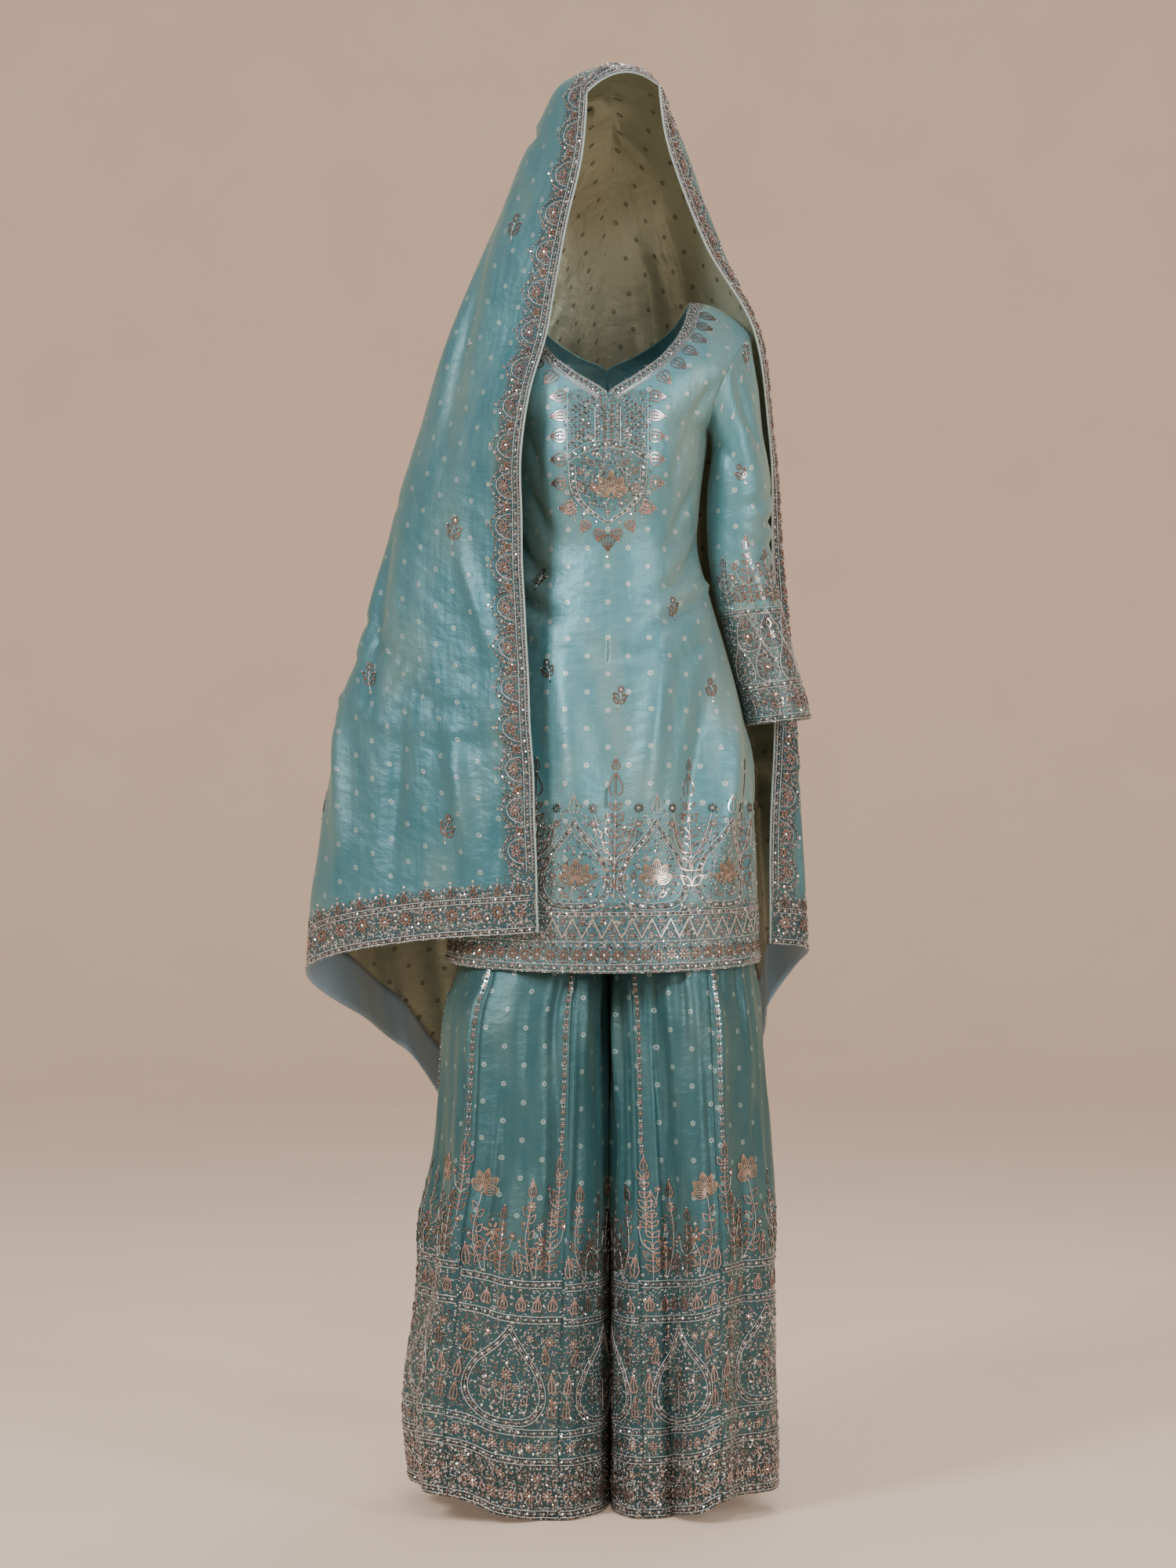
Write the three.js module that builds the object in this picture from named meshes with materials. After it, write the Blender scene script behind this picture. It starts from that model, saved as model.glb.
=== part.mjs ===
// A palazzo suit as it is worn: a kurta, wide panelled trousers and a veil cloth over the head.
// Lengths are in millimetres. X points to the right as seen from the front, Y backwards and Z up.
// Left and right in names are as seen from the front.
// Heights in the tables are above the trouser hem; the last group lowers them to the shoulder line.
import * as THREE from "three";

// Driving dimensions
const SHOULDER_LINE = 1470;
const KURTA_CLOTH = 1.3;
const TROUSER_CLOTH = 1.3;
const VEIL_CLOTH = 1.2;
const FACING_CLOTH = 1.0;
const SEAM_GAP = 0.3;
const HALF_GAP = SEAM_GAP / 2;
const DEGREE = Math.PI / 180;

// Kurta, below the underarm
const UNDERARM = 1325;
const SLIT_TOP = 850;
const SLIT_SPREAD = 20;
const SIDE_SEAM_Y = 4;
const HEM_DIP = 10;
const HEM_DIP_FADES_OVER = 200;
const SLIT_EASES_FROM = 0.35;
const BUST = { x: 72, height: 1285, depth: 13, across: 42, along: 58 };
const kurtaSections = [
  { height: 662, half: 194, front: 152, back: 142, shift: -5 },
  { height: 744, half: 189, front: 148, back: 138, shift: -3 },
  { height: 841, half: 184, front: 144, back: 133, shift: -1 },
  { height: 939, half: 175, front: 136, back: 126, shift: 0 },
  { height: 1056, half: 147, front: 121, back: 105, shift: 0 },
  { height: 1124, half: 127, front: 110, back: 86, shift: 0 },
  { height: 1182, half: 112, front: 105, back: 73, shift: 0 },
  { height: 1231, half: 114, front: 112, back: 75, shift: 0 },
  { height: 1280, half: 120, front: 120, back: 84, shift: 0 },
  { height: 1325, half: 127, front: 117, back: 92, shift: 0 },
];

// Kurta, above the underarm: a row joins the neck edge to the armhole, "turn" is how far it curves
const frontYoke = [
  { row: 0, neckX: 0, neckY: -117, neckZ: 1325, armX: 127, armY: 4, armZ: 1325, turn: 90 },
  { row: 0.14, neckX: 0, neckY: -115, neckZ: 1346, armX: 127, armY: -34, armZ: 1334, turn: 84 },
  { row: 0.28, neckX: 0, neckY: -111, neckZ: 1366, armX: 130, armY: -58, armZ: 1354, turn: 76 },
  { row: 0.46, neckX: 37, neckY: -100, neckZ: 1391, armX: 139, armY: -64, armZ: 1380, turn: 66 },
  { row: 0.64, neckX: 66, neckY: -82, neckZ: 1415, armX: 152, armY: -56, armZ: 1406, turn: 58 },
  { row: 0.82, neckX: 90, neckY: -50, neckZ: 1449, armX: 166, armY: -34, armZ: 1432, turn: 50 },
  { row: 1, neckX: 102, neckY: -6, neckZ: 1488, armX: 178, armY: -4, armZ: 1450, turn: 42 },
];
const backYoke = [
  { row: 0, neckX: 0, neckY: 92, neckZ: 1325, armX: 127, armY: 4, armZ: 1325, turn: 90 },
  { row: 0.14, neckX: 0, neckY: 92, neckZ: 1354, armX: 128, armY: 32, armZ: 1334, turn: 84 },
  { row: 0.28, neckX: 0, neckY: 90, neckZ: 1382, armX: 132, armY: 54, armZ: 1354, turn: 76 },
  { row: 0.46, neckX: 0, neckY: 85, neckZ: 1414, armX: 140, armY: 62, armZ: 1382, turn: 66 },
  { row: 0.64, neckX: 38, neckY: 76, neckZ: 1432, armX: 152, armY: 56, armZ: 1409, turn: 58 },
  { row: 0.82, neckX: 78, neckY: 50, neckZ: 1458, armX: 166, armY: 32, armZ: 1434, turn: 50 },
  { row: 1, neckX: 102, neckY: -6, neckZ: 1488, armX: 178, armY: -4, armZ: 1450, turn: 42 },
];

// Sleeve, from the armhole to the cuff: centre, half width and half depth of each ring
const sleeveRings = [
  { along: 0.3, x: 160, y: 4, z: 1318, half: 33, depth: 52, tilt: 26 },
  { along: 0.45, x: 163, y: 8, z: 1240, half: 40, depth: 48, tilt: 8 },
  { along: 0.62, x: 169, y: 15, z: 1150, half: 40, depth: 45, tilt: 4 },
  { along: 0.8, x: 190, y: 18, z: 1058, half: 40, depth: 43, tilt: 8 },
  { along: 1, x: 214, y: 14, z: 967, half: 41, depth: 42, tilt: 6 },
];

const SLEEVE_GAP = 1.5 * SEAM_GAP;
const UNDERARM_PART = 1 / 3;

// Trousers: how far the body of them reaches on each side at each height
const CROTCH = 740;
const JOINED = 870;
const WAIST = 1096;
const WAISTBAND = { height: 36, columns: 24 };
const HEM_HEIGHT = 1;
const LEG_SQUARENESS = { inner: 0.74, outer: 1.02 };
const trouserSections = [
  { height: 0, left: 256, right: 207, front: 166, back: 196, inner: 1.2, swell: 1 },
  { height: 100, left: 263, right: 206, front: 167, back: 192, inner: 1.2, swell: 0.95 },
  { height: 178, left: 253, right: 204, front: 166, back: 186, inner: 1.4, swell: 0.86 },
  { height: 256, left: 241, right: 205, front: 163, back: 178, inner: 1.8, swell: 0.78 },
  { height: 344, left: 233, right: 203, front: 159, back: 168, inner: 2.4, swell: 0.68 },
  { height: 422, left: 219, right: 197, front: 154, back: 158, inner: 3, swell: 0.58 },
  { height: 510, left: 213, right: 191, front: 148, back: 148, inner: 4, swell: 0.48 },
  { height: 590, left: 209, right: 187, front: 141, back: 138, inner: 4, swell: 0.38 },
  { height: 624, left: 202, right: 184, front: 134, back: 126, inner: 3.6, swell: 0.3 },
  { height: 650, left: 190.5, right: 180.8, front: 126, back: 116, inner: 3, swell: 0.2 },
  { height: 740, left: 172, right: 172, front: 106, back: 98, inner: 1.2, swell: 0.12 },
  { height: 840, left: 166, right: 166, front: 118, back: 107, inner: 1, swell: 0.12 },
  { height: 940, left: 155, right: 155, front: 117, back: 106, inner: 1, swell: 0.12 },
  { height: 1040, left: 130, right: 130, front: 102, back: 82, inner: 1, swell: 0.08 },
  { height: 1096, left: 110, right: 110, front: 91, back: 68, inner: 1, swell: 0 },
];
const legs = [
  { name: "leg_left", side: -1, reach: "left", seams: [0, 0.16, 0.33, 0.5, 0.67, 0.84, 1] },
  { name: "leg_right", side: 1, reach: "right", seams: [0, 0.13, 0.31, 0.5, 0.69, 0.87, 1] },
];
// Folds stand out from a leg: "at" and "width" are parts of the way round from the inseam by the front
const legFolds = {
  left: [
    { at: 0.12, width: 0.06, depth: 10 },
    { at: 0.195, width: 0.075, depth: 30 },
    { at: 0.275, width: 0.07, depth: 14 },
    { at: 0.36, width: 0.06, depth: -13 },
    { at: 0.43, width: 0.07, depth: 20 },
    { at: 0.52, width: 0.07, depth: 13 },
    { at: 0.6, width: 0.07, depth: 22 },
    { at: 0.69, width: 0.07, depth: 17 },
    { at: 0.775, width: 0.065, depth: 23 },
    { at: 0.86, width: 0.065, depth: 15 },
  ],
  right: [
    { at: 0.11, width: 0.06, depth: 8 },
    { at: 0.19, width: 0.09, depth: 58 },
    { at: 0.29, width: 0.06, depth: 10 },
    { at: 0.365, width: 0.06, depth: 18 },
    { at: 0.44, width: 0.06, depth: -9 },
    { at: 0.515, width: 0.065, depth: 13 },
    { at: 0.6, width: 0.07, depth: 19 },
    { at: 0.68, width: 0.065, depth: 15 },
    { at: 0.76, width: 0.07, depth: 23 },
    { at: 0.85, width: 0.07, depth: 16 },
  ],
};
// The hems hang lowest at the front ridges, and are caught up at the sides, most at the left one
const hemLifts = {
  left: [
    { at: 0.36, width: 0.17, depth: 34 },
    { at: 0.57, width: 0.19, depth: 42 },
    { at: 0.76, width: 0.18, depth: 18 },
  ],
  right: [
    { at: 0.34, width: 0.16, depth: 26 },
    { at: 0.52, width: 0.18, depth: 30 },
    { at: 0.72, width: 0.18, depth: 16 },
  ],
};
const LIFT_FADES_AT = 600;

// Veil cloth: plan of each level, from its front edge by the left side and the back to the right edge
const CROWN = { x: 4, y: -14, height: 1779 };
const CROWN_TURN = 72;
const veilStations = { edgeL: 0, sideL: 0.25, backL: 0.42, back: 0.57, backR: 0.74, sideR: 0.88, edgeR: 1 };
const veilX = [
  { height: 340, edgeL: -84, sideL: -376, backL: -226, back: -14, backR: 178, sideR: 262, edgeR: 205 },
  { height: 500, edgeL: -84, sideL: -374, backL: -236, back: -12, backR: 180, sideR: 260, edgeR: 205 },
  { height: 700, edgeL: -86, sideL: -368, backL: -272, back: -8, backR: 176, sideR: 254, edgeR: 205 },
  { height: 850, edgeL: -90, sideL: -350, backL: -258, back: -4, backR: 168, sideR: 246, edgeR: 207 },
  { height: 1000, edgeL: -97, sideL: -323, backL: -232, back: 0, backR: 160, sideR: 237, edgeR: 213 },
  { height: 1170, edgeL: -105, sideL: -280, backL: -200, back: 0, backR: 154, sideR: 221, edgeR: 210 },
  { height: 1320, edgeL: -104, sideL: -237, backL: -166, back: 0, backR: 148, sideR: 208, edgeR: 203 },
  { height: 1450, edgeL: -74, sideL: -196.4, backL: -140, back: 0, backR: 140, sideR: 190, edgeR: 182.3 },
  { height: 1551, edgeL: -56, sideL: -155, backL: -112, back: 2, backR: 114, sideR: 145, edgeR: 122 },
  { height: 1666, edgeL: -31, sideL: -105, backL: -80, back: 4, backR: 84, sideR: 102, edgeR: 76 },
  { height: 1752, edgeL: -27, sideL: -64, backL: -50, back: 6, backR: 58, sideR: 67, edgeR: 62 },
];
const veilY = [
  { height: 340, edgeL: -150, sideL: -4, backL: 152, back: 214, backR: 166, sideR: 66, edgeR: 28 },
  { height: 500, edgeL: -150, sideL: -4, backL: 150, back: 210, backR: 164, sideR: 68, edgeR: 28 },
  { height: 700, edgeL: -160, sideL: 0, backL: 142, back: 204, backR: 166, sideR: 74, edgeR: 28 },
  { height: 850, edgeL: -158, sideL: 4, backL: 140, back: 194, backR: 166, sideR: 84, edgeR: 40 },
  { height: 1000, edgeL: -146, sideL: 5, backL: 136, back: 180, backR: 158, sideR: 92, edgeR: 66 },
  { height: 1170, edgeL: -128, sideL: 6, backL: 128, back: 162, backR: 142, sideR: 86, edgeR: 60 },
  { height: 1320, edgeL: -132, sideL: 6, backL: 118, back: 144, backR: 120, sideR: 52, edgeR: 14 },
  { height: 1450, edgeL: -99.9, sideL: 4, backL: 102, back: 126, backR: 102, sideR: 20, edgeR: -16 },
  { height: 1551, edgeL: -103, sideL: -4, backL: 90, back: 112, backR: 88, sideR: -2, edgeR: -54 },
  { height: 1666, edgeL: -105, sideL: -10, backL: 72, back: 96, backR: 72, sideR: -10, edgeR: -72 },
  { height: 1752, edgeL: -95, sideL: -16, backL: 48, back: 74, backR: 50, sideR: -16, edgeR: -62 },
];
// Lower edge of the cloth: the short end falls to a back corner, and the long back edge climbs between them
const veilHem = [
  { at: 0, height: 711 },
  { at: 0.12, height: 697 },
  { at: 0.25, height: 664 },
  { at: 0.34, height: 616 },
  { at: 0.42, height: 548 },
  { at: 0.47, height: 462 },
  { at: 0.5, height: 590 },
  { at: 0.535, height: 760 },
  { at: 0.58, height: 900 },
  { at: 0.635, height: 745 },
  { at: 0.67, height: 570 },
  { at: 0.702, height: 436 },
  { at: 0.745, height: 560 },
  { at: 0.82, height: 652 },
  { at: 0.9, height: 681 },
  { at: 1, height: 690 },
];
const LEFT_CORNER = 5;
const RIGHT_CORNER = 11;
const rimHeights = [
  { at: 0, height: 1731 },
  { at: 0.25, height: 1742 },
  { at: 0.57, height: 1742 },
  { at: 0.88, height: 1744 },
  { at: 1, height: 1747 },
];
const faceRim = { columns: 7, y: -98, height: 1757 };
const veilFolds = [
  { at: 0.415, width: 0.05, depth: 34 },
  { at: 0.462, width: 0.042, depth: 62 },
  { at: 0.507, width: 0.04, depth: 80 },
  { at: 0.551, width: 0.042, depth: 64 },
  { at: 0.598, width: 0.044, depth: 84 },
  { at: 0.646, width: 0.042, depth: 66 },
  { at: 0.69, width: 0.04, depth: 72 },
  { at: 0.735, width: 0.045, depth: 40 },
];
const FOLDS_START = 1690;
const FOLDS_FULL = 760;
const FACING_WIDTH = 74;
const PIPING_RADIUS = 1.3;
const PIPING_GAP = 1.5 * SEAM_GAP;

// Grid counts
const KURTA_ACROSS = 8;
const KURTA_SKIRT_ROWS = 13;
const KURTA_YOKE_ROWS = 8;
const SLEEVE_ROUND = 2 * KURTA_YOKE_ROWS;
const SLEEVE_ROWS = 11;
const PANEL_ACROSS = 6;
const TROUSER_HEM_ROWS = 9;
const TROUSER_HIP_ROWS = 6;
const UNDER_KURTA = { below: 622, above: 652 };
const VEIL_ROWS = 13;
const VEIL_LEFT_COLUMNS = 13;
const VEIL_FOLD_COLUMNS = 36;
const VEIL_RIGHT_COLUMNS = 6;
const CROWN_RINGS = 3;

// Small mathematics
const point = (x, y, z) => new THREE.Vector3(x, y, z);
const mix = (a, b, t) => a + (b - a) * t;
const smooth = (t) => {
  const s = THREE.MathUtils.clamp(t, 0, 1);
  return s * s * (3 - 2 * s);
};
const steps = (from, to, count) => Array.from({ length: count + 1 }, (_, i) => mix(from, to, i / count));

// A smooth curve through one column of a table, read at any value of the column that orders it
function column(table, name, order = "height") {
  const at = table.map((row) => row[order]);
  const value = table.map((row) => row[name]);
  const last = at.length - 1;
  const slope = (i) => {
    const before = Math.max(i - 1, 0);
    const after = Math.min(i + 1, last);
    return (value[after] - value[before]) / (at[after] - at[before]);
  };
  return (x) => {
    if (x <= at[0]) return value[0];
    if (x >= at[last]) return value[last];
    const i = at.findIndex((a) => a > x) - 1;
    const span = at[i + 1] - at[i];
    const t = (x - at[i]) / span;
    const rise = value[i + 1] - value[i];
    const bend = (slope(i) * span - rise) * (1 - t) + (rise - slope(i + 1) * span) * t;
    return value[i] + rise * t + t * (1 - t) * bend;
  };
}

// A table's columns as functions that share one order
function columns(table, names, order) {
  return Object.fromEntries(names.map((name) => [name, column(table, name, order)]));
}

// How far the rows of a fold table stand out at one place along the cloth
function foldsAt(table, at) {
  let sum = 0;
  for (const fold of table) {
    const away = Math.abs(at - fold.at) / fold.width;
    if (away < 1) sum += fold.depth * 0.5 * (1 + Math.cos(Math.PI * away));
  }
  return sum;
}

// Cloth is a wall: an outer skin of quads, a copy of it moved inwards, and a strip round its edges
class Cloth {
  constructor(thickness) {
    this.thickness = thickness;
    this.outer = [];
    this.inner = [];
    this.triangles = [];
    this.found = new Map();
    this.normals = [];
  }

  vertex(place, normal) {
    const key = [place.x, place.y, place.z].map((n) => n.toFixed(3)).join(" ");
    if (!this.found.has(key)) {
      this.found.set(key, this.outer.length);
      this.outer.push(place);
      this.normals.push(normal);
      this.inner.push(place.clone().addScaledVector(normal, -this.thickness));
    }
    return this.found.get(key);
  }

  triangle(a, b, c) {
    if (a === b || b === c || c === a) return;
    const ab = this.outer[b].clone().sub(this.outer[a]);
    const ac = this.outer[c].clone().sub(this.outer[a]);
    const facing = this.normals[a].clone().add(this.normals[b]).add(this.normals[c]);
    this.triangles.push(ab.cross(ac).dot(facing) > 0 ? [a, b, c] : [a, c, b]);
  }

  // A grid of points over a surface; its function gives the place and the outward normal
  patch(surface, us, vs) {
    const grid = us.map((u) => vs.map((v) => this.vertex(surface(u, v), normalOf(surface, u, v))));
    for (let i = 0; i + 1 < us.length; i += 1) {
      for (let j = 0; j + 1 < vs.length; j += 1) {
        this.triangle(grid[i][j], grid[i + 1][j], grid[i + 1][j + 1]);
        this.triangle(grid[i][j], grid[i + 1][j + 1], grid[i][j + 1]);
      }
    }
    return this;
  }

  mesh(name, material) {
    const count = this.outer.length;
    const faces = this.triangles.map((t) => [...t]);
    const edges = new Set();
    for (const [a, b, c] of this.triangles) {
      faces.push([a + count, c + count, b + count]);
      for (const [from, to] of [[a, b], [b, c], [c, a]]) edges.add(from + " " + to);
    }
    for (const edge of edges) {
      const [from, to] = edge.split(" ").map(Number);
      if (edges.has(to + " " + from)) continue;
      // Both sides of a seam cut the strip's quads along the same diagonal
      if (this.outer[from].z > this.outer[to].z) {
        faces.push([to, from, to + count], [from, from + count, to + count]);
      } else {
        faces.push([to, from, from + count], [to, from + count, to + count]);
      }
    }
    const positions = [...this.outer, ...this.inner].flatMap((p) => [p.x, p.y, p.z]);
    const geometry = new THREE.BufferGeometry();
    geometry.setAttribute("position", new THREE.Float32BufferAttribute(positions, 3));
    geometry.setIndex(faces.flat());
    geometry.computeVertexNormals();
    const made = new THREE.Mesh(geometry, material);
    made.name = name;
    return made;
  }
}

// The outward normal of a surface, from four places close to the one asked for
const PROBE = 1e-4;
function normalOf(surface, u, v) {
  if (surface.normal) {
    const given = surface.normal(u, v);
    if (given) return given;
  }
  return probedNormal(surface, u, v);
}
function probedNormal(surface, u, v) {
  const [u0, u1] = surface.span.u;
  const [v0, v1] = surface.span.v;
  const clampU = (x) => THREE.MathUtils.clamp(x, u0, u1);
  const clampV = (x) => THREE.MathUtils.clamp(x, v0, v1);
  const across = surface(clampU(u + PROBE), v).sub(surface(clampU(u - PROBE), v));
  const along = surface(u, clampV(v + PROBE)).sub(surface(u, clampV(v - PROBE)));
  return across.cross(along).multiplyScalar(surface.outward).normalize();
}

// Materials

const tissue = () => new THREE.MeshStandardMaterial({ color: 0x6fa39c, roughness: 0.5, metalness: 0.1 });
const satin = () => new THREE.MeshStandardMaterial({ color: 0x64879b, roughness: 0.4, metalness: 0 });

// Kurta

const kurtaWall = columns(kurtaSections, ["half", "front", "back", "shift"], "height");
const yokeNames = ["neckX", "neckY", "neckZ", "armX", "armY", "armZ", "turn"];
const yokes = {
  front: columns(frontYoke, yokeNames, "row"),
  back: columns(backYoke, yokeNames, "row"),
};

// How far the side edges of front and back have parted at a height
function slitAt(height) {
  const below = (SLIT_TOP - height) / (SLIT_TOP - kurtaSections[0].height);
  return HALF_GAP + SLIT_SPREAD * smooth(below);
}

// A soft rise of the front over the bust, shaped by the darts
function bustAt(x, z) {
  const across = (Math.abs(x) - BUST.x) / BUST.across;
  const along = (z - BUST.height) / BUST.along;
  return BUST.depth * Math.exp(-across * across - along * along);
}

// One half of the front or back; u runs from the centre line or neck to the side, v from hem to shoulder
function kurtaHalf(face, side) {
  const ahead = face === "front" ? -1 : 1;
  const yoke = yokes[face];
  const skirt = (u, v) => {
    const height = mix(kurtaSections[0].height, UNDERARM, v);
    const turn = u * 90 * DEGREE;
    const dip = HEM_DIP * (1 - Math.cos(turn)) * smooth((SLIT_TOP - height) / HEM_DIP_FADES_OVER);
    const x = kurtaWall.shift(height) + side * kurtaWall.half(height) * Math.sin(turn);
    const deep = kurtaWall[face](height) * Math.cos(turn);
    const open = slitAt(height) * smooth((u - SLIT_EASES_FROM) / (1 - SLIT_EASES_FROM));
    const bust = face === "front" ? bustAt(x, height) * Math.cos(turn) : 0;
    const rest = SIDE_SEAM_Y * (1 - Math.cos(turn));
    return point(x, ahead * (deep + open + bust) + rest, height + dip * (1 - v));
  };
  const upper = (u, v) => {
    const full = yoke.turn(v) * DEGREE;
    const turn = u * full;
    const out = Math.sin(turn) / Math.sin(full);
    const back = (1 - Math.cos(turn)) / (1 - Math.cos(full));
    const x = mix(yoke.neckX(v), yoke.armX(v), out);
    const z = mix(yoke.neckZ(v), yoke.armZ(v), back);
    const bust = face === "front" ? bustAt(x, z) * (1 - back) : 0;
    const y = mix(yoke.neckY(v), yoke.armY(v), back) + ahead * (bust + HALF_GAP * smooth(u + v));
    return point(side * x, y, z);
  };
  const surface = (u, v) => (v <= 1 ? skirt(u, v) : upper(u, v - 1));
  surface.span = { u: [0, 1], v: [0, 2] };
  surface.outward = side * -ahead;
  return surface;
}

// Along the shoulder seam front and back share one normal, so their walls don't cross
function withShoulder(surface, partner) {
  surface.normal = (u, v) => {
    if (v < 2) return null;
    return probedNormal(surface, u, v).add(probedNormal(partner, u, v)).normalize();
  };
  return surface;
}

function kurtaPanel(face) {
  const cloth = new Cloth(KURTA_CLOTH);
  const us = steps(0, 1, KURTA_ACROSS);
  const vs = [...steps(0, 1, KURTA_SKIRT_ROWS), ...steps(1, 2, KURTA_YOKE_ROWS).slice(1)];
  const other = face === "front" ? "back" : "front";
  for (const side of [1, -1]) {
    cloth.patch(withShoulder(kurtaHalf(face, side), kurtaHalf(other, side)), us, vs);
  }
  return cloth.mesh("kurta_" + face, tissue());
}

// Sleeves

// The armhole as a loop: up the front from the underarm to the shoulder, and down the back
function armhole(turn) {
  const rising = turn <= 0.5;
  const yoke = rising ? yokes.front : yokes.back;
  const row = rising ? turn * 2 : (1 - turn) * 2;
  return point(yoke.armX(row), yoke.armY(row), yoke.armZ(row));
}

const sleeveWall = columns(sleeveRings, ["x", "y", "z", "half", "depth", "tilt"], "along");

// u runs round the arm from the underarm by the front, v from the armhole to the cuff
function sleeveSurface(side) {
  const ring = (u, v) => {
    const turn = u * 2 * Math.PI;
    const tilt = sleeveWall.tilt(v) * DEGREE;
    const out = -sleeveWall.half(v) * Math.cos(turn);
    return point(
      sleeveWall.x(v) + out * Math.cos(tilt),
      sleeveWall.y(v) - sleeveWall.depth(v) * Math.sin(turn),
      sleeveWall.z(v) + out * Math.sin(tilt),
    );
  };
  const surface = (u, v) => {
    const start = armhole(u);
    const blend = smooth(v / sleeveRings[0].along);
    const place = start.lerp(ring(u, v), blend);
    return point(side * (place.x + SLEEVE_GAP * (1 - blend)), place.y, place.z);
  };
  surface.span = { u: [-1, 2], v: [0, 1] };
  surface.outward = -side;
  // At the armhole the sleeve's wall turns to lie in line with the body's wall
  surface.normal = (u, v) => {
    if (v > 0) return null;
    const [face, other, row] = u <= 0.5 ? ["front", "back", u * 2] : ["back", "front", (1 - u) * 2];
    const body = withShoulder(kurtaHalf(face, side), kurtaHalf(other, side));
    const share = smooth(row / UNDERARM_PART);
    return probedNormal(surface, u, 0).multiplyScalar(1 - share)
      .addScaledVector(normalOf(body, 1, 1 + row), share)
      .normalize();
  };
  return surface;
}

function sleeve(side, name) {
  const surface = sleeveSurface(side);
  const cloth = new Cloth(KURTA_CLOTH);
  const us = steps(0, 1, SLEEVE_ROUND);
  const vs = steps(0, 1, SLEEVE_ROWS);
  return cloth.patch(surface, us, vs).mesh(name, tissue());
}

// Trousers

const legNames = ["left", "right", "front", "back", "inner", "swell"];
const trouserWall = columns(trouserSections, legNames, "height");

// u runs round one leg from the inseam by the front to the inseam, v from the hem to the waist
function legSurface(leg) {
  const folds = legFolds[leg.reach];
  const base = (u, height) => {
    const outer = trouserWall[leg.reach](height);
    const front = trouserWall.front(height);
    const back = trouserWall.back(height);
    const inner = trouserWall.inner(height);
    const turn = u * 2 * Math.PI;
    const power = mix(LEG_SQUARENESS.outer, LEG_SQUARENESS.inner, smooth(0.5 + Math.cos(turn)));
    const square = (n) => Math.sign(n) * Math.abs(n) ** power;
    const deep = u < 0.5 ? front : back;
    const tubeX = mix(inner, outer, 0.5 - 0.5 * square(Math.cos(turn)));
    const tubeY = -deep * square(Math.sin(turn));
    const half = (u - 0.5) * Math.PI;
    const bodyX = HALF_GAP + outer * Math.cos(half);
    const bodyY = (u < 0.5 ? front : back) * Math.sin(half);
    const joined = smooth((height - CROTCH) / (JOINED - CROTCH));
    return { x: mix(tubeX, bodyX, joined), y: mix(tubeY, bodyY, joined) };
  };
  const surface = (u, v) => {
    const height = mix(HEM_HEIGHT, WAIST, v);
    const here = base(u, height);
    const before = base(Math.max(u - PROBE, 0), height);
    const after = base(Math.min(u + PROBE, 1), height);
    const outX = -(after.y - before.y);
    const outY = after.x - before.x;
    const length = Math.hypot(outX, outY);
    const fold = foldsAt(folds, u) * trouserWall.swell(height);
    const lifted = foldsAt(hemLifts[leg.reach], u) * (1 - smooth(height / LIFT_FADES_AT));
    const nearest = Math.min(here.x, trouserWall.inner(height));
    return point(
      leg.side * Math.max(here.x + (outX / length) * fold, nearest),
      here.y + (outY / length) * fold,
      height + lifted,
    );
  };
  surface.span = { u: [0, 1], v: [0, 1] };
  surface.outward = leg.side;
  return surface;
}

// Rows from hem to waist, with one short row where the trousers widen below the kurta's hem
const rowAt = (height) => (height - HEM_HEIGHT) / (WAIST - HEM_HEIGHT);
const trouserRows = [
  ...steps(0, rowAt(UNDER_KURTA.below), TROUSER_HEM_ROWS),
  ...steps(rowAt(UNDER_KURTA.above), 1, TROUSER_HIP_ROWS),
];

// Panels meet at the seams with a narrow gap, the same on both sides
function legPanels(leg) {
  const whole = legSurface(leg);
  return leg.seams.slice(1).map((end, i) => {
    const start = leg.seams[i];
    const panel = (u, v) => {
      const place = whole(u, v);
      if (u > start && u < end) return place;
      const inside = whole(u === start ? u + PROBE : u - PROBE, v);
      return place.addScaledVector(inside.sub(place).normalize(), HALF_GAP);
    };
    panel.normal = (u, v) => probedNormal(whole, u, v);
    const cloth = new Cloth(TROUSER_CLOTH);
    cloth.patch(panel, steps(start, end, PANEL_ACROSS), trouserRows);
    return cloth.mesh(leg.name + "_kali_" + (i + 1), tissue());
  });
}

function waistband() {
  const top = (v) => WAIST + SEAM_GAP + v * WAISTBAND.height;
  const surface = (u, v) => {
    const turn = u * 2 * Math.PI;
    const deep = Math.sin(turn) > 0 ? trouserWall.back(WAIST) : trouserWall.front(WAIST);
    return point(trouserWall.left(WAIST) * Math.cos(turn), deep * Math.sin(turn), top(v));
  };
  surface.span = { u: [-1, 2], v: [0, 1] };
  surface.outward = 1;
  return new Cloth(TROUSER_CLOTH)
    .patch(surface, steps(0, 1, WAISTBAND.columns), [0, 1])
    .mesh("trouser_waistband", tissue());
}

// Veil cloth

const stationNames = Object.keys(veilStations);
const veilPlan = {
  x: columns(veilX, stationNames, "height"),
  y: columns(veilY, stationNames, "height"),
};
const hemOfVeil = column(veilHem, "height", "at");
const rimOfVeil = column(rimHeights, "height", "at");

// The plan of one level as a smooth curve through its stations
function planAt(height) {
  const rows = stationNames.map((name) => ({
    at: veilStations[name],
    x: veilPlan.x[name](height),
    y: veilPlan.y[name](height),
  }));
  return columns(rows, ["x", "y"], "at");
}

// The last row of the cloth is as deep as the facing
const FACING_ROW = 1 - 1 / VEIL_ROWS;
const facedPart = (v) => (v - FACING_ROW) / (1 - FACING_ROW);

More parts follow.
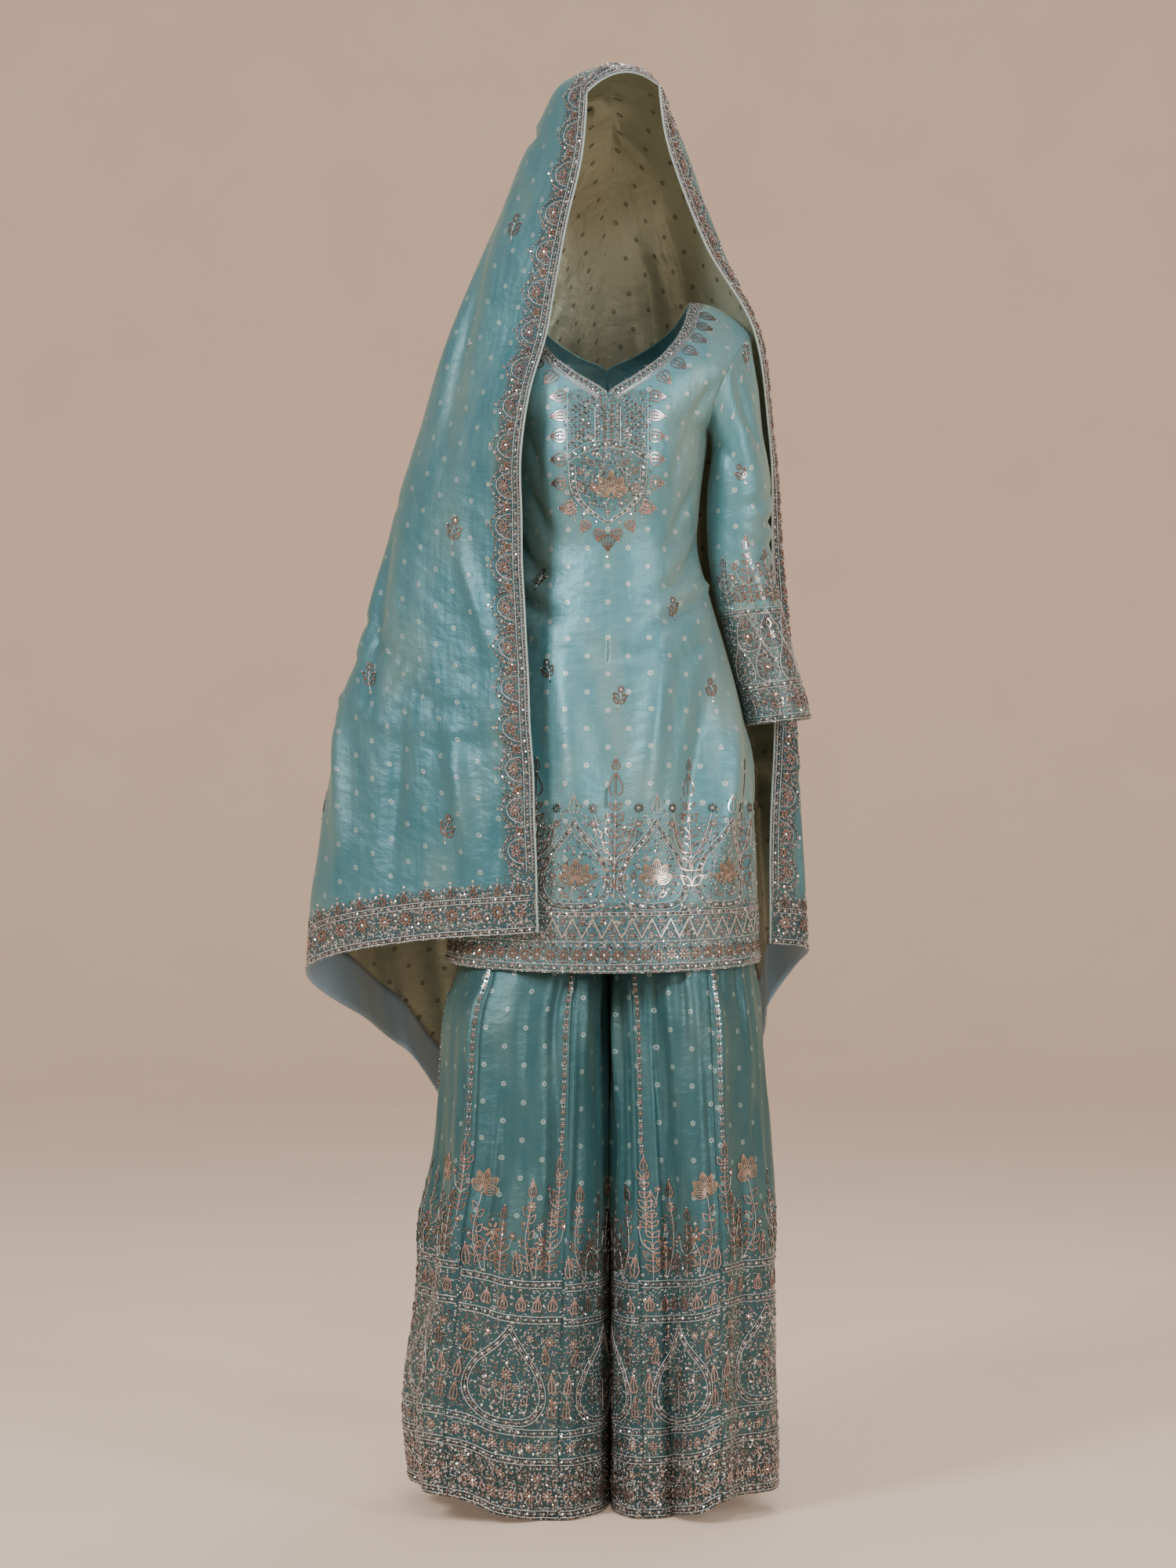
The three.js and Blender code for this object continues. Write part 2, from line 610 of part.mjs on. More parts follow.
// u runs along the levels from the left front edge to the right one, v from the head to the hem
function veilSurface() {
  const surface = (u, v) => {
    const faced = hemOfVeil(u) + FACING_WIDTH;
    const above = mix(rimOfVeil(u), faced, v / FACING_ROW);
    const height = v < FACING_ROW ? above : mix(faced, hemOfVeil(u), facedPart(v));
    const plan = planAt(height);
    const before = Math.max(u - PROBE, 0);
    const after = Math.min(u + PROBE, 1);
    const outX = plan.y(before) - plan.y(after);
    const outY = plan.x(after) - plan.x(before);
    const length = Math.hypot(outX, outY);
    const grown = smooth((FOLDS_START - height) / (FOLDS_START - FOLDS_FULL));
    const fold = foldsAt(veilFolds, u) * grown;
    return point(plan.x(u) + (outX / length) * fold, plan.y(u) + (outY / length) * fold, height);
  };
  surface.span = { u: [0, 1], v: [0, 1] };
  surface.outward = 1;
  return surface;
}

const foldsFrom = veilFolds[0].at - veilFolds[0].width;
const foldsTo = veilFolds.at(-1).at + veilFolds.at(-1).width;
const veilColumns = [
  ...steps(0, foldsFrom, VEIL_LEFT_COLUMNS),
  ...steps(foldsFrom, foldsTo, VEIL_FOLD_COLUMNS).slice(1),
  ...steps(foldsTo, 1, VEIL_RIGHT_COLUMNS).slice(1),
];

// The ring where the cap over the head meets the hanging cloth; past u = 1 it is the rim over the face
function capRing(surface) {
  return (u) => {
    if (u <= 1) return surface(u, 0);
    const t = u - 1;
    const from = surface(1, 0);
    const to = surface(0, 0);
    const arch = 4 * t * (1 - t);
    const high = faceRim.height - mix(from.z, to.z, 0.5);
    const ahead = faceRim.y - mix(from.y, to.y, 0.5);
    return from.lerp(to, t).add(point(0, ahead * arch, high * arch));
  };
}

// The cap: rings that shrink to the crown, rounded like a head
function capSurface(ring) {
  const crown = point(CROWN.x, CROWN.y, CROWN.height);
  const full = CROWN_TURN * DEGREE;
  const surface = (u, v) => {
    const edge = ring(u);
    const out = Math.sin(v * full) / Math.sin(full);
    const down = (1 - Math.cos(v * full)) / (1 - Math.cos(full));
    return point(mix(crown.x, edge.x, out), mix(crown.y, edge.y, out), mix(crown.z, edge.z, down));
  };
  surface.span = { u: [0, 2], v: [0, 1] };
  surface.outward = 1;
  return surface;
}

function veil() {
  const cloth = new Cloth(VEIL_CLOTH);
  const hanging = veilSurface();
  const cap = capSurface(capRing(hanging));
  hanging.normal = (u, v) => {
    if (v > 0) return null;
    return probedNormal(hanging, u, v).add(probedNormal(cap, u, 1)).normalize();
  };
  cap.normal = (u, v) => {
    if (v === 0) return point(0, 0, 1);
    return v === 1 && u <= 1 ? hanging.normal(u, 0) : null;
  };
  cloth.patch(hanging, veilColumns, steps(0, 1, VEIL_ROWS));
  const around = [...veilColumns, ...steps(1, 2, faceRim.columns).slice(1)];
  cloth.patch(cap, around, steps(0, 1, CROWN_RINGS));
  return cloth.mesh("dupatta", tissue());
}

// Satin facing inside a short end, made from the veil's own points moved inwards
function facing(name, from, to) {
  const hanging = veilSurface();
  const inwards = VEIL_CLOTH + SEAM_GAP;
  const surface = (u, v) => hanging(u, v).addScaledVector(probedNormal(hanging, u, v), -inwards);
  surface.span = { u: [0, 1], v: [FACING_ROW, 1] };
  surface.outward = 1;
  const us = veilColumns.filter((u) => u >= from && u <= to);
  return new Cloth(FACING_CLOTH).patch(surface, us, [FACING_ROW, 1]).mesh(name, satin());
}

// Thin piping beside the front edge: from the left corner over the head to the right corner
function piping() {
  const hanging = veilSurface();
  const cap = capSurface(capRing(hanging));
  const rows = steps(0, 1, VEIL_ROWS);
  const place = (surface, u, v, awayU, awayV) => {
    const edge = surface(u, v);
    const normal = probedNormal(surface, u, v);
    const inside = surface(u + awayU, v + awayV);
    const away = edge.clone().sub(inside).normalize();
    const centre = edge.clone().addScaledVector(normal, -VEIL_CLOTH / 2);
    return { centre: centre.addScaledVector(away, PIPING_RADIUS + PIPING_GAP), normal, away };
  };
  const step = 0.01;
  const frames = [
    ...rows.toReversed().map((v) => place(hanging, 0, v, step, 0)),
    ...steps(2, 1, faceRim.columns).slice(1, -1).map((u) => place(cap, u, 1, 0, -step)),
    ...rows.map((v) => place(hanging, 1, v, -step, 0)),
  ];
  return cordMesh(frames, PIPING_RADIUS, "dupatta_piping", satin());
}

// A closed cord of six sides through a list of centres with their normals
function cordMesh(frames, radius, name, material) {
  const sides = 6;
  const positions = [];
  for (const { centre, normal, away } of frames) {
    for (let i = 0; i < sides; i += 1) {
      const turn = (i / sides) * 2 * Math.PI;
      const rim = centre.clone();
      rim.addScaledVector(normal, radius * Math.cos(turn)).addScaledVector(away, radius * Math.sin(turn));
      positions.push(rim.x, rim.y, rim.z);
    }
  }
  const faces = [];
  const last = (frames.length - 1) * sides;
  for (let i = 0; i < sides; i += 1) {
    const next = (i + 1) % sides;
    for (let ring = 0; ring < last; ring += sides) {
      faces.push(ring + i, ring + next, ring + sides + next);
      faces.push(ring + i, ring + sides + next, ring + sides + i);
    }
    if (i > 0 && i < sides - 1) {
      faces.push(0, i + 1, i);
      faces.push(last, last + i, last + i + 1);
    }
  }
  const geometry = new THREE.BufferGeometry();
  geometry.setAttribute("position", new THREE.Float32BufferAttribute(positions, 3));
  geometry.setIndex(faces);
  geometry.computeVertexNormals();
  const made = new THREE.Mesh(geometry, material);
  made.name = name;
  return made;
}

// The suit as it is worn

const garments = new THREE.Group();
garments.position.z = -SHOULDER_LINE;
garments.add(kurtaPanel("front"), kurtaPanel("back"));
garments.add(sleeve(-1, "sleeve_left"), sleeve(1, "sleeve_right"));
for (const leg of legs) garments.add(...legPanels(leg));
garments.add(waistband());
garments.add(veil());
garments.add(facing("dupatta_facing_left", 0, veilHem[LEFT_CORNER].at));
garments.add(facing("dupatta_facing_right", veilHem[RIGHT_CORNER].at, 1));
garments.add(piping());

const suit = new THREE.Group();
suit.add(garments);
export default suit;
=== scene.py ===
# %% [markdown]
# A palazzo suit as it is worn: a kurta, wide panelled trousers and a veil cloth over the head.
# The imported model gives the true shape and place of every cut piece. This lesson dresses it: each
# piece becomes a thin shell on the same form, with its own creases, weave, metal thread and beads.
# Everything is in metres, in the model's frame: +X to the right as seen from the front, +Y to the back.

# %% Load the frame
import math
import random
import bmesh
import bpy
import mathutils
import numpy as np
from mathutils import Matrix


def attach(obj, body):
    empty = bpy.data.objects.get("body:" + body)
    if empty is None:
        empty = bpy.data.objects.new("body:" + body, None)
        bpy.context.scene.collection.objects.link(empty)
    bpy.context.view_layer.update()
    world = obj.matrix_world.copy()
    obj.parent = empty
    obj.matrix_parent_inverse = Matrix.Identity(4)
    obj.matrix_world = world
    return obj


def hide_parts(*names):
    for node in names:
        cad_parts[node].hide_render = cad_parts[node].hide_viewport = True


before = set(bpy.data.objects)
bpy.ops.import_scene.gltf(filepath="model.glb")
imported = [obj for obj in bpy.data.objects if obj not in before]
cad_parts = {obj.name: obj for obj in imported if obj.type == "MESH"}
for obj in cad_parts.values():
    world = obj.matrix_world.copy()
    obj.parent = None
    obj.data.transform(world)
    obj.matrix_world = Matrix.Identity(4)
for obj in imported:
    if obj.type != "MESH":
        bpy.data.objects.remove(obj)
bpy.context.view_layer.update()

# %% [markdown]
# The garments are described by short tables, a row for each height, like the notes of a pattern
# cutter. A smooth curve through each column gives the size at any height between the rows. The same
# rule shaped the solids, so a shell made here lies exactly on its solid.

# %% Tables and smooth curves
MM = 0.001
SHOULDER_LINE = 1470 * MM
PROBE = 1e-4


def table(names, *rows):
    """Columns by name; the first column orders the rows. Lengths are in millimetres in the rows."""
    return {name: np.array([row[i] for row in rows], float) for i, name in enumerate(names.split())}


def curve(at, value, x):
    """A smooth curve through values known at a few places; value may hold a row of them for each x."""
    x = np.clip(np.asarray(x, float), at[0], at[-1])
    value = np.broadcast_to(value, x.shape + at.shape)
    slope = np.empty(value.shape)
    slope[..., 1:-1] = (value[..., 2:] - value[..., :-2]) / (at[2:] - at[:-2])
    slope[..., 0] = (value[..., 1] - value[..., 0]) / (at[1] - at[0])
    slope[..., -1] = (value[..., -1] - value[..., -2]) / (at[-1] - at[-2])
    i = np.clip(np.searchsorted(at, x, side="right") - 1, 0, len(at) - 2)

    def pick(rows, j):
        return np.take_along_axis(rows, j[..., None], -1)[..., 0]

    span = at[i + 1] - at[i]
    t = (x - at[i]) / span
    rise = pick(value, i + 1) - pick(value, i)
    bend = (pick(slope, i) * span - rise) * (1 - t) + (rise - pick(slope, i + 1) * span) * t
    return pick(value, i) + rise * t + t * (1 - t) * bend


def read(columns, name, x, order="height"):
    return curve(columns[order], columns[name], x)


def smooth(t):
    s = np.clip(t, 0, 1)
    return s * s * (3 - 2 * s)


def mix(a, b, t):
    return a + (b - a) * t


def unit(vectors):
    """The same directions at length 1."""
    return vectors / np.linalg.norm(vectors, axis=-1, keepdims=True)


def way_along(line):
    """How far each point of a line is from its start."""
    return np.concatenate([[0], np.cumsum(np.linalg.norm(np.diff(line, axis=0), axis=1))])


def placed(name, data):
    """A new object in the scene; its shape and place are in its data."""
    made = bpy.data.objects.new(name, data)
    bpy.context.scene.collection.objects.link(made)
    return made


def ring_faces(rings, sides):
    """The faces between rings of points that lie one after another in a list."""
    corners = ((0, 0), (0, 1), (1, 1), (1, 0))
    return [tuple((i + up) * sides + (k + on) % sides for up, on in corners)
            for i in range(rings - 1) for k in range(sides)]


def folds_at(folds, at):
    """How far a table of folds stands out at a place along the cloth."""
    total = np.zeros_like(at)
    for centre, width, depth in zip(folds["at"], folds["width"], folds["depth"]):
        away = np.abs(at - centre) / width
        total += np.where(away < 1, depth * 0.5 * (1 + np.cos(np.pi * np.minimum(away, 1))), 0)
    return total


# %% [markdown]
# Kurta. The body is a ring of ellipses below the underarm. Above it, rows run from the neck edge to
# the armhole and turn over the shoulder, so that the V neck and the armholes are true edges.

# %% Kurta sizes
UNDERARM, KURTA_HEM, SLIT_TOP, SLIT_SPREAD = 1325, 662, 850, 20
SIDE_SEAM_Y, HEM_DIP, HALF_GAP = 4, 10, 0.15
kurta_wall = table(
    "height half front back shift",
    (662, 194, 152, 142, -5), (744, 189, 148, 138, -3), (841, 184, 144, 133, -1), (939, 175, 136, 126, 0),
    (1056, 147, 121, 105, 0), (1124, 127, 110, 86, 0), (1182, 112, 105, 73, 0), (1231, 114, 112, 75, 0),
    (1280, 120, 120, 84, 0), (1325, 127, 117, 92, 0))
yokes = {
    "front": table(
        "row neckX neckY neckZ armX armY armZ turn",
        (0, 0, -117, 1325, 127, 4, 1325, 90), (0.14, 0, -115, 1346, 127, -34, 1334, 84),
        (0.28, 0, -111, 1366, 130, -58, 1354, 76), (0.46, 37, -100, 1391, 139, -64, 1380, 66),
        (0.64, 66, -82, 1415, 152, -56, 1406, 58), (0.82, 90, -50, 1449, 166, -34, 1432, 50),
        (1, 102, -6, 1488, 178, -4, 1450, 42)),
    "back": table(
        "row neckX neckY neckZ armX armY armZ turn",
        (0, 0, 92, 1325, 127, 4, 1325, 90), (0.14, 0, 92, 1354, 128, 32, 1334, 84),
        (0.28, 0, 90, 1382, 132, 54, 1354, 76), (0.46, 0, 85, 1414, 140, 62, 1382, 66),
        (0.64, 38, 76, 1432, 152, 56, 1409, 58), (0.82, 78, 50, 1458, 166, 32, 1434, 50),
        (1, 102, -6, 1488, 178, -4, 1450, 42))}
sleeve_wall = table(
    "along x y z half depth tilt",
    (0.3, 160, 4, 1318, 33, 52, 26), (0.45, 163, 8, 1240, 40, 48, 8), (0.62, 169, 15, 1150, 40, 45, 4),
    (0.8, 190, 18, 1058, 40, 43, 8), (1, 214, 14, 967, 41, 42, 6))


def bust_at(x, z):
    return 13 * np.exp(-(((np.abs(x) - 72) / 42) ** 2) - ((z - 1285) / 58) ** 2)


def kurta_half(face, side):
    """The outer face of half a front or back: u from the centre line to the side, v from 0 at the hem
    by 1 at the underarm to 2 at the shoulder. The result is in millimetres above the trouser hem."""
    ahead = -1 if face == "front" else 1
    yoke = yokes[face]

    def skirt(u, v):
        height = mix(KURTA_HEM, UNDERARM, v)
        turn = u * np.pi / 2
        dip = HEM_DIP * (1 - np.cos(turn)) * smooth((SLIT_TOP - height) / 200)
        x = read(kurta_wall, "shift", height) + side * read(kurta_wall, "half", height) * np.sin(turn)
        slit = HALF_GAP + SLIT_SPREAD * smooth((SLIT_TOP - height) / (SLIT_TOP - KURTA_HEM))
        bust = bust_at(x, height) * np.cos(turn) if face == "front" else 0
        deep = read(kurta_wall, face, height) * np.cos(turn) + slit * smooth((u - 0.35) / 0.65) + bust
        return np.stack([x, ahead * deep + SIDE_SEAM_Y * (1 - np.cos(turn)), height + dip * (1 - v)], -1)

    def upper(u, v):
        full = np.radians(read(yoke, "turn", v, "row"))
        out = np.sin(u * full) / np.sin(full)
        back = (1 - np.cos(u * full)) / (1 - np.cos(full))
        x = mix(read(yoke, "neckX", v, "row"), read(yoke, "armX", v, "row"), out)
        z = mix(read(yoke, "neckZ", v, "row"), read(yoke, "armZ", v, "row"), back)
        bust = bust_at(x, z) * (1 - back) if face == "front" else 0
        y = mix(read(yoke, "neckY", v, "row"), read(yoke, "armY", v, "row"), back)
        return np.stack([side * x, y + ahead * (bust + HALF_GAP * smooth(u + v)), z], -1)

    def surface(u, v):
        return np.where((v <= 1)[..., None], skirt(u, np.minimum(v, 1)), upper(u, np.maximum(v - 1, 0)))
    return surface


print("kurta at its hem:", 2 * kurta_wall["half"][0], "mm wide, at the waist:", 2 * kurta_wall["half"].min())

# %% [markdown]
# A sleeve starts on the loop of the armhole and blends into rings, each tilted a little with the arm.

# %% Sleeve form
def armhole(turn):
    """The armhole as a loop: up the front from the underarm to the shoulder and down the back."""
    row = np.where(turn <= 0.5, turn * 2, (1 - turn) * 2)
    both = []
    for name in ("armX", "armY", "armZ"):
        front, back = (read(yokes[face], name, row, "row") for face in ("front", "back"))
        both.append(np.where(turn <= 0.5, front, back))
    return np.stack(both, -1)


def sleeve_surface(side):
    """u runs round the arm from the underarm by the front, v from the armhole to the cuff."""
    def surface(u, v):
        turn = u * 2 * np.pi
        size = {name: read(sleeve_wall, name, v, "along") for name in sleeve_wall}
        tilt = np.radians(size["tilt"])
        out = -size["half"] * np.cos(turn)
        ring = np.stack([size["x"] + out * np.cos(tilt), size["y"] - size["depth"] * np.sin(turn),
                         size["z"] + out * np.sin(tilt)], -1)
        blend = smooth(v / sleeve_wall["along"][0])
        place = mix(armhole(u), ring, blend[..., None])
        place[..., 0] += 0.45 * (1 - blend)
        return place * [side, 1, 1]
    return surface


# %% [markdown]
# Trousers. Each leg is a wide tube that starts as half of the hips and rounds into a full ring below
# the crotch. Deep flares stand out from it where the kalis, the long tapering panels, hang in folds.

# %% Trouser sizes
CROTCH, JOINED, WAIST, HEM_HEIGHT = 740, 870, 1096, 1
INNER_SQUARENESS, OUTER_SQUARENESS, INNER_AT_MOST = 0.74, 1.02, 1.0
trouser_wall = table(
    "height left right front back inner swell",
    (0, 256, 207, 166, 196, 1.2, 1), (100, 263, 206, 167, 192, 1.2, 0.95),
    (178, 253, 204, 166, 186, 1.4, 0.86), (256, 241, 205, 163, 178, 1.8, 0.78),
    (344, 233, 203, 159, 168, 2.4, 0.68), (422, 219, 197, 154, 158, 3, 0.58),
    (510, 213, 191, 148, 148, 4, 0.48), (590, 209, 187, 141, 138, 4, 0.38),
    (624, 202, 184, 134, 126, 3.6, 0.3), (650, 190.5, 180.8, 126, 116, 3, 0.2),
    (740, 172, 172, 106, 98, 1.2, 0.12),
    (840, 166, 166, 118, 107, 1, 0.12), (940, 155, 155, 117, 106, 1, 0.12),
    (1040, 130, 130, 102, 82, 1, 0.08), (1096, 110, 110, 91, 68, 1, 0))
leg_folds = {
    "left": table(
        "at width depth",
        (0.12, 0.06, 10), (0.195, 0.075, 30), (0.275, 0.07, 14), (0.36, 0.06, -13), (0.43, 0.07, 20),
        (0.52, 0.07, 13), (0.6, 0.07, 22), (0.69, 0.07, 17), (0.775, 0.065, 23), (0.86, 0.065, 15)),
    "right": table(
        "at width depth",
        (0.11, 0.06, 8), (0.19, 0.09, 58), (0.29, 0.06, 10), (0.365, 0.06, 18), (0.44, 0.06, -9),
        (0.515, 0.065, 13), (0.6, 0.07, 19), (0.68, 0.065, 15), (0.76, 0.07, 23), (0.85, 0.07, 16))}
leg_seams = {"left": [0, 0.16, 0.33, 0.5, 0.67, 0.84, 1], "right": [0, 0.13, 0.31, 0.5, 0.69, 0.87, 1]}
hem_lifts = {"left": table("at width depth", (0.36, 0.17, 34), (0.57, 0.19, 42), (0.76, 0.18, 18)),
             "right": table("at width depth", (0.34, 0.16, 26), (0.52, 0.18, 30), (0.72, 0.18, 16))}
LIFT_FADES_AT = 600


def leg_surface(reach):
    """u runs round one leg from the inseam by the front and back to the inseam, v from hem to waist."""
    side = -1 if reach == "left" else 1

    def plan(u, height):
        outer, front, back, inner = (read(trouser_wall, n, height) for n in (reach, "front", "back", "inner"))
        turn = u * 2 * np.pi
        power = mix(OUTER_SQUARENESS, INNER_SQUARENESS, smooth(0.5 + np.cos(turn)))
        deep = np.where(u < 0.5, front, back)
        inner = np.minimum(inner, INNER_AT_MOST)
        across = np.sign(np.cos(turn)) * np.abs(np.cos(turn)) ** power
        tube_x = mix(inner, outer, 0.5 - 0.5 * across)
        tube_y = -deep * np.sign(np.sin(turn)) * np.abs(np.sin(turn)) ** power
        half = (u - 0.5) * np.pi
        joined = smooth((height - CROTCH) / (JOINED - CROTCH))
        return mix(tube_x, HALF_GAP + outer * np.cos(half), joined), mix(tube_y, deep * np.sin(half), joined)

    def surface(u, v):
        height = mix(HEM_HEIGHT, WAIST, v)
        x, y = plan(u, height)
        before, after = (plan(np.clip(u + step, 0, 1), height) for step in (-PROBE, PROBE))
        out = unit(np.stack([before[1] - after[1], after[0] - before[0]], -1))
        fold = folds_at(leg_folds[reach], u) * read(trouser_wall, "swell", height)
        lifted = folds_at(hem_lifts[reach], u) * (1 - smooth(height / LIFT_FADES_AT))
        nearest = np.minimum(x, INNER_AT_MOST)
        return np.stack([side * np.maximum(x + out[..., 0] * fold, nearest), y + out[..., 1] * fold,
                         height + lifted], -1)
    return surface


print("panels in each leg:", {reach: len(seams) - 1 for reach, seams in leg_seams.items()})

# %% [markdown]
# Veil cloth. At every height its plan is a smooth line through seven stations, from the front edge on
# the left, round the back, to the front edge on the right. The folds at the back stand out from that
# line. Over the head a cap of shrinking rings closes it, with a rim across the face.

# %% Veil sizes
CROWN, CROWN_TURN = (4, -14, 1779), 72
FOLDS_START, FOLDS_FULL = 1690, 760
FACING_WIDTH, FACING_ROW = 74, 1 - 1 / 13
RIM_Y, RIM_HEIGHT = -98, 1757
LEFT_CORNER, RIGHT_CORNER, MID_BACK = 0.47, 0.702, 0.57
stations = {"edgeL": 0, "sideL": 0.25, "backL": 0.42, "back": 0.57, "backR": 0.74, "sideR": 0.88,
            "edgeR": 1}
station_at = np.array(list(stations.values()), float)
veil_x = table(
    "height " + " ".join(stations),
    (340, -84, -376, -226, -14, 178, 262, 205), (500, -84, -374, -236, -12, 180, 260, 205),
    (700, -86, -368, -272, -8, 176, 254, 205), (850, -90, -350, -258, -4, 168, 246, 207),
    (1000, -97, -323, -232, 0, 160, 237, 213), (1170, -105, -280, -200, 0, 154, 221, 210),
    (1320, -104, -237, -166, 0, 148, 208, 203), (1450, -74, -196.4, -140, 0, 140, 190, 182.3),
    (1551, -56, -155, -112, 2, 114, 145, 122), (1666, -31, -105, -80, 4, 84, 102, 76),
    (1752, -27, -64, -50, 6, 58, 67, 62))
veil_y = table(
    "height " + " ".join(stations),
    (340, -150, -4, 152, 214, 166, 66, 28), (500, -150, -4, 150, 210, 164, 68, 28),
    (700, -160, 0, 142, 204, 166, 74, 28), (850, -158, 4, 140, 194, 166, 84, 40),
    (1000, -146, 5, 136, 180, 158, 92, 66), (1170, -128, 6, 128, 162, 142, 86, 60),
    (1320, -132, 6, 118, 144, 120, 52, 14), (1450, -99.9, 4, 102, 126, 102, 20, -16),
    (1551, -103, -4, 90, 112, 88, -2, -54), (1666, -105, -10, 72, 96, 72, -10, -72),
    (1752, -95, -16, 48, 74, 50, -16, -62))
veil_hem = table(
    "at height",
    (0, 711), (0.12, 697), (0.25, 664), (0.34, 616), (0.42, 548), (0.47, 462), (0.5, 590), (0.535, 760),
    (0.58, 900), (0.635, 745), (0.67, 570), (0.702, 436), (0.745, 560), (0.82, 652), (0.9, 681), (1, 690))
veil_rim = table("at height", (0, 1731), (0.25, 1742), (0.57, 1742), (0.88, 1744), (1, 1747))
veil_folds = table(
    "at width depth",
    (0.415, 0.05, 34), (0.462, 0.042, 62), (0.507, 0.04, 80), (0.551, 0.042, 64),
    (0.598, 0.044, 84), (0.646, 0.042, 66), (0.69, 0.04, 72), (0.735, 0.045, 40))


def veil_hanging(u, v):
    """u runs along the levels from the left front edge to the right one, v from the head to the hem."""
    hem = read(veil_hem, "height", u, "at")
    faced = hem + FACING_WIDTH
    height = np.where(v < FACING_ROW, mix(read(veil_rim, "height", u, "at"), faced, v / FACING_ROW),
                      mix(faced, hem, (v - FACING_ROW) / (1 - FACING_ROW)))
    plan = [np.stack([read(rows, name, height) for name in stations], -1) for rows in (veil_x, veil_y)]
    x, y = (curve(station_at, values, u) for values in plan)
    before, after = ([curve(station_at, values, np.clip(u + step, 0, 1)) for values in plan]
                     for step in (-PROBE, PROBE))
    out = unit(np.stack([before[1] - after[1], after[0] - before[0]], -1))
    fold = folds_at(veil_folds, u) * smooth((FOLDS_START - height) / (FOLDS_START - FOLDS_FULL))
    return np.stack([x + out[..., 0] * fold, y + out[..., 1] * fold, height], -1)


def cap_ring(u):
    """The ring where the cap meets the hanging cloth; past u = 1 it is the rim over the face."""
    t = np.clip(u - 1, 0, 1)[..., None]
    start, end = (veil_hanging(np.full(u.shape, at), np.zeros(u.shape)) for at in (1.0, 0.0))
    arch = 4 * t * (1 - t)
    middle = 0.5 * (start + end)
    middle[..., 0] = 0
    rise = np.stack([np.zeros(u.shape), np.full(u.shape, RIM_Y), np.full(u.shape, RIM_HEIGHT)], -1) - middle
    return np.where(u[..., None] <= 1, veil_hanging(np.minimum(u, 1), np.zeros(u.shape)),
                    mix(start, end, t) + rise * arch)


def veil_cap(u, v):
    """Rings that shrink to the crown; v runs from the crown to the ring."""
    edge, full = cap_ring(u), np.radians(CROWN_TURN)
    out = np.sin(v * full) / np.sin(full)
    down = (1 - np.cos(v * full)) / (1 - np.cos(full))
    return np.stack([mix(CROWN[0], edge[..., 0], out), mix(CROWN[1], edge[..., 1], out),
                     mix(CROWN[2], edge[..., 2], down)], -1)


print("folds behind:", len(veil_folds["at"]), "crown at", CROWN[2], "mm")

# %% [markdown]
# A cloth is a sheet of quads over one of those surfaces. Each point also keeps its place on the flat
# cloth, in metres across and along the grain. Those two numbers become the UV map "cloth", so the weave
# has its real size everywhere, and they are where creases and embroidery are placed.

# %% From a surface to a sheet of points
CREASE_DEPTH, WELD = 2.3, 0.00002
cloths = {}


def steps(*stretches):
    """Places along a line: each stretch is (from, to, count), and joins the one before it."""
    parts = [np.linspace(start, end, count + 1) for start, end, count in stretches]
    return np.concatenate([parts[0]] + [part[1:] for part in parts[1:]])


def arcs(place, axis):
    """Lengths along a grid's lines, from its first row or column."""
    lengths = np.linalg.norm(np.diff(place, axis=axis), axis=-1)
    return np.concatenate([np.zeros_like(np.take(lengths, [0], axis)), np.cumsum(lengths, axis)], axis)


def grid_on(surface, us, vs, outward):
    """A grid in metres with its outward normals; outward is 1 or -1 for which way the surface turns."""
    u, v = np.meshgrid(us, vs, indexing="ij")
    place = surface(u, v) * MM
    place[..., 2] -= SHOULDER_LINE
    across, along = np.gradient(place, axis=0), np.gradient(place, axis=1)
    out = np.cross(across, along) * outward
    length = np.linalg.norm(out, axis=-1, keepdims=True)
    out = np.where(length > 1e-12, out / np.maximum(length, 1e-12), np.array([0.0, 0.0, 1.0]))
    return {"u": u, "v": v, "place": place, "out": out,
            "woven": np.ones(u.shape), "worked": np.zeros(u.shape)}


# %% [markdown]
# Creases are listed one row each: where the middle lies on the flat cloth, which way it runs,
# how long, wide and deep it is, and how much it bows. A depth below zero is a trough. Under them lies a
# slight waviness, drawn from a fixed seed, because no hand-worked silk is quite flat.

# %% Creases and waviness
def within(distance, width, fade=0.006):
    """1 nearer than a width, falling softly to 0 just past it; in metres."""
    return 1 - smooth((distance - width) / fade)


def creases_at(creases, a, b):
    """Soft troughs and ridges: rows of middle, turn in degrees, length, width, depth and bow, in metres."""
    total = np.zeros_like(a)
    for middle_a, middle_b, turn, length, width, depth, bow in creases:
        c, s = math.cos(math.radians(turn)), math.sin(math.radians(turn))
        along = (a - middle_a) * c + (b - middle_b) * s
        across = (b - middle_b) * c - (a - middle_a) * s - bow * along ** 2
        total += depth * np.exp(-(across / width) ** 2) * np.clip(1 - (2 * along / length) ** 2, 0, 1) ** 2
    return CREASE_DEPTH * total


def unevenness(a, b, seed, height, size):
    """The slight waviness of hand-worked silk: a few waves of about one size, in mixed directions."""
    rng = random.Random(seed)
    total = np.zeros_like(a)
    for _ in range(7):
        turn, phase, scale = rng.uniform(0, math.pi), rng.uniform(0, 6.28), rng.uniform(0.7, 1.5) * size
        total += np.sin((a * math.cos(turn) + b * math.sin(turn)) * 2 * math.pi / scale + phase)
    return total * height / 7


# %% [markdown]
# The grids of one cloth become one mesh. Their shared edges are welded, and every quad is turned so that
# it faces outward. Two masks ride along on the points: "woven" says where the woven spots show, "worked"
# where fine beads cover the ground.

# %% A cloth as one mesh
def raised(grid, height):
    grid["place"] = grid["place"] + grid["out"] * height[..., None]
    return grid


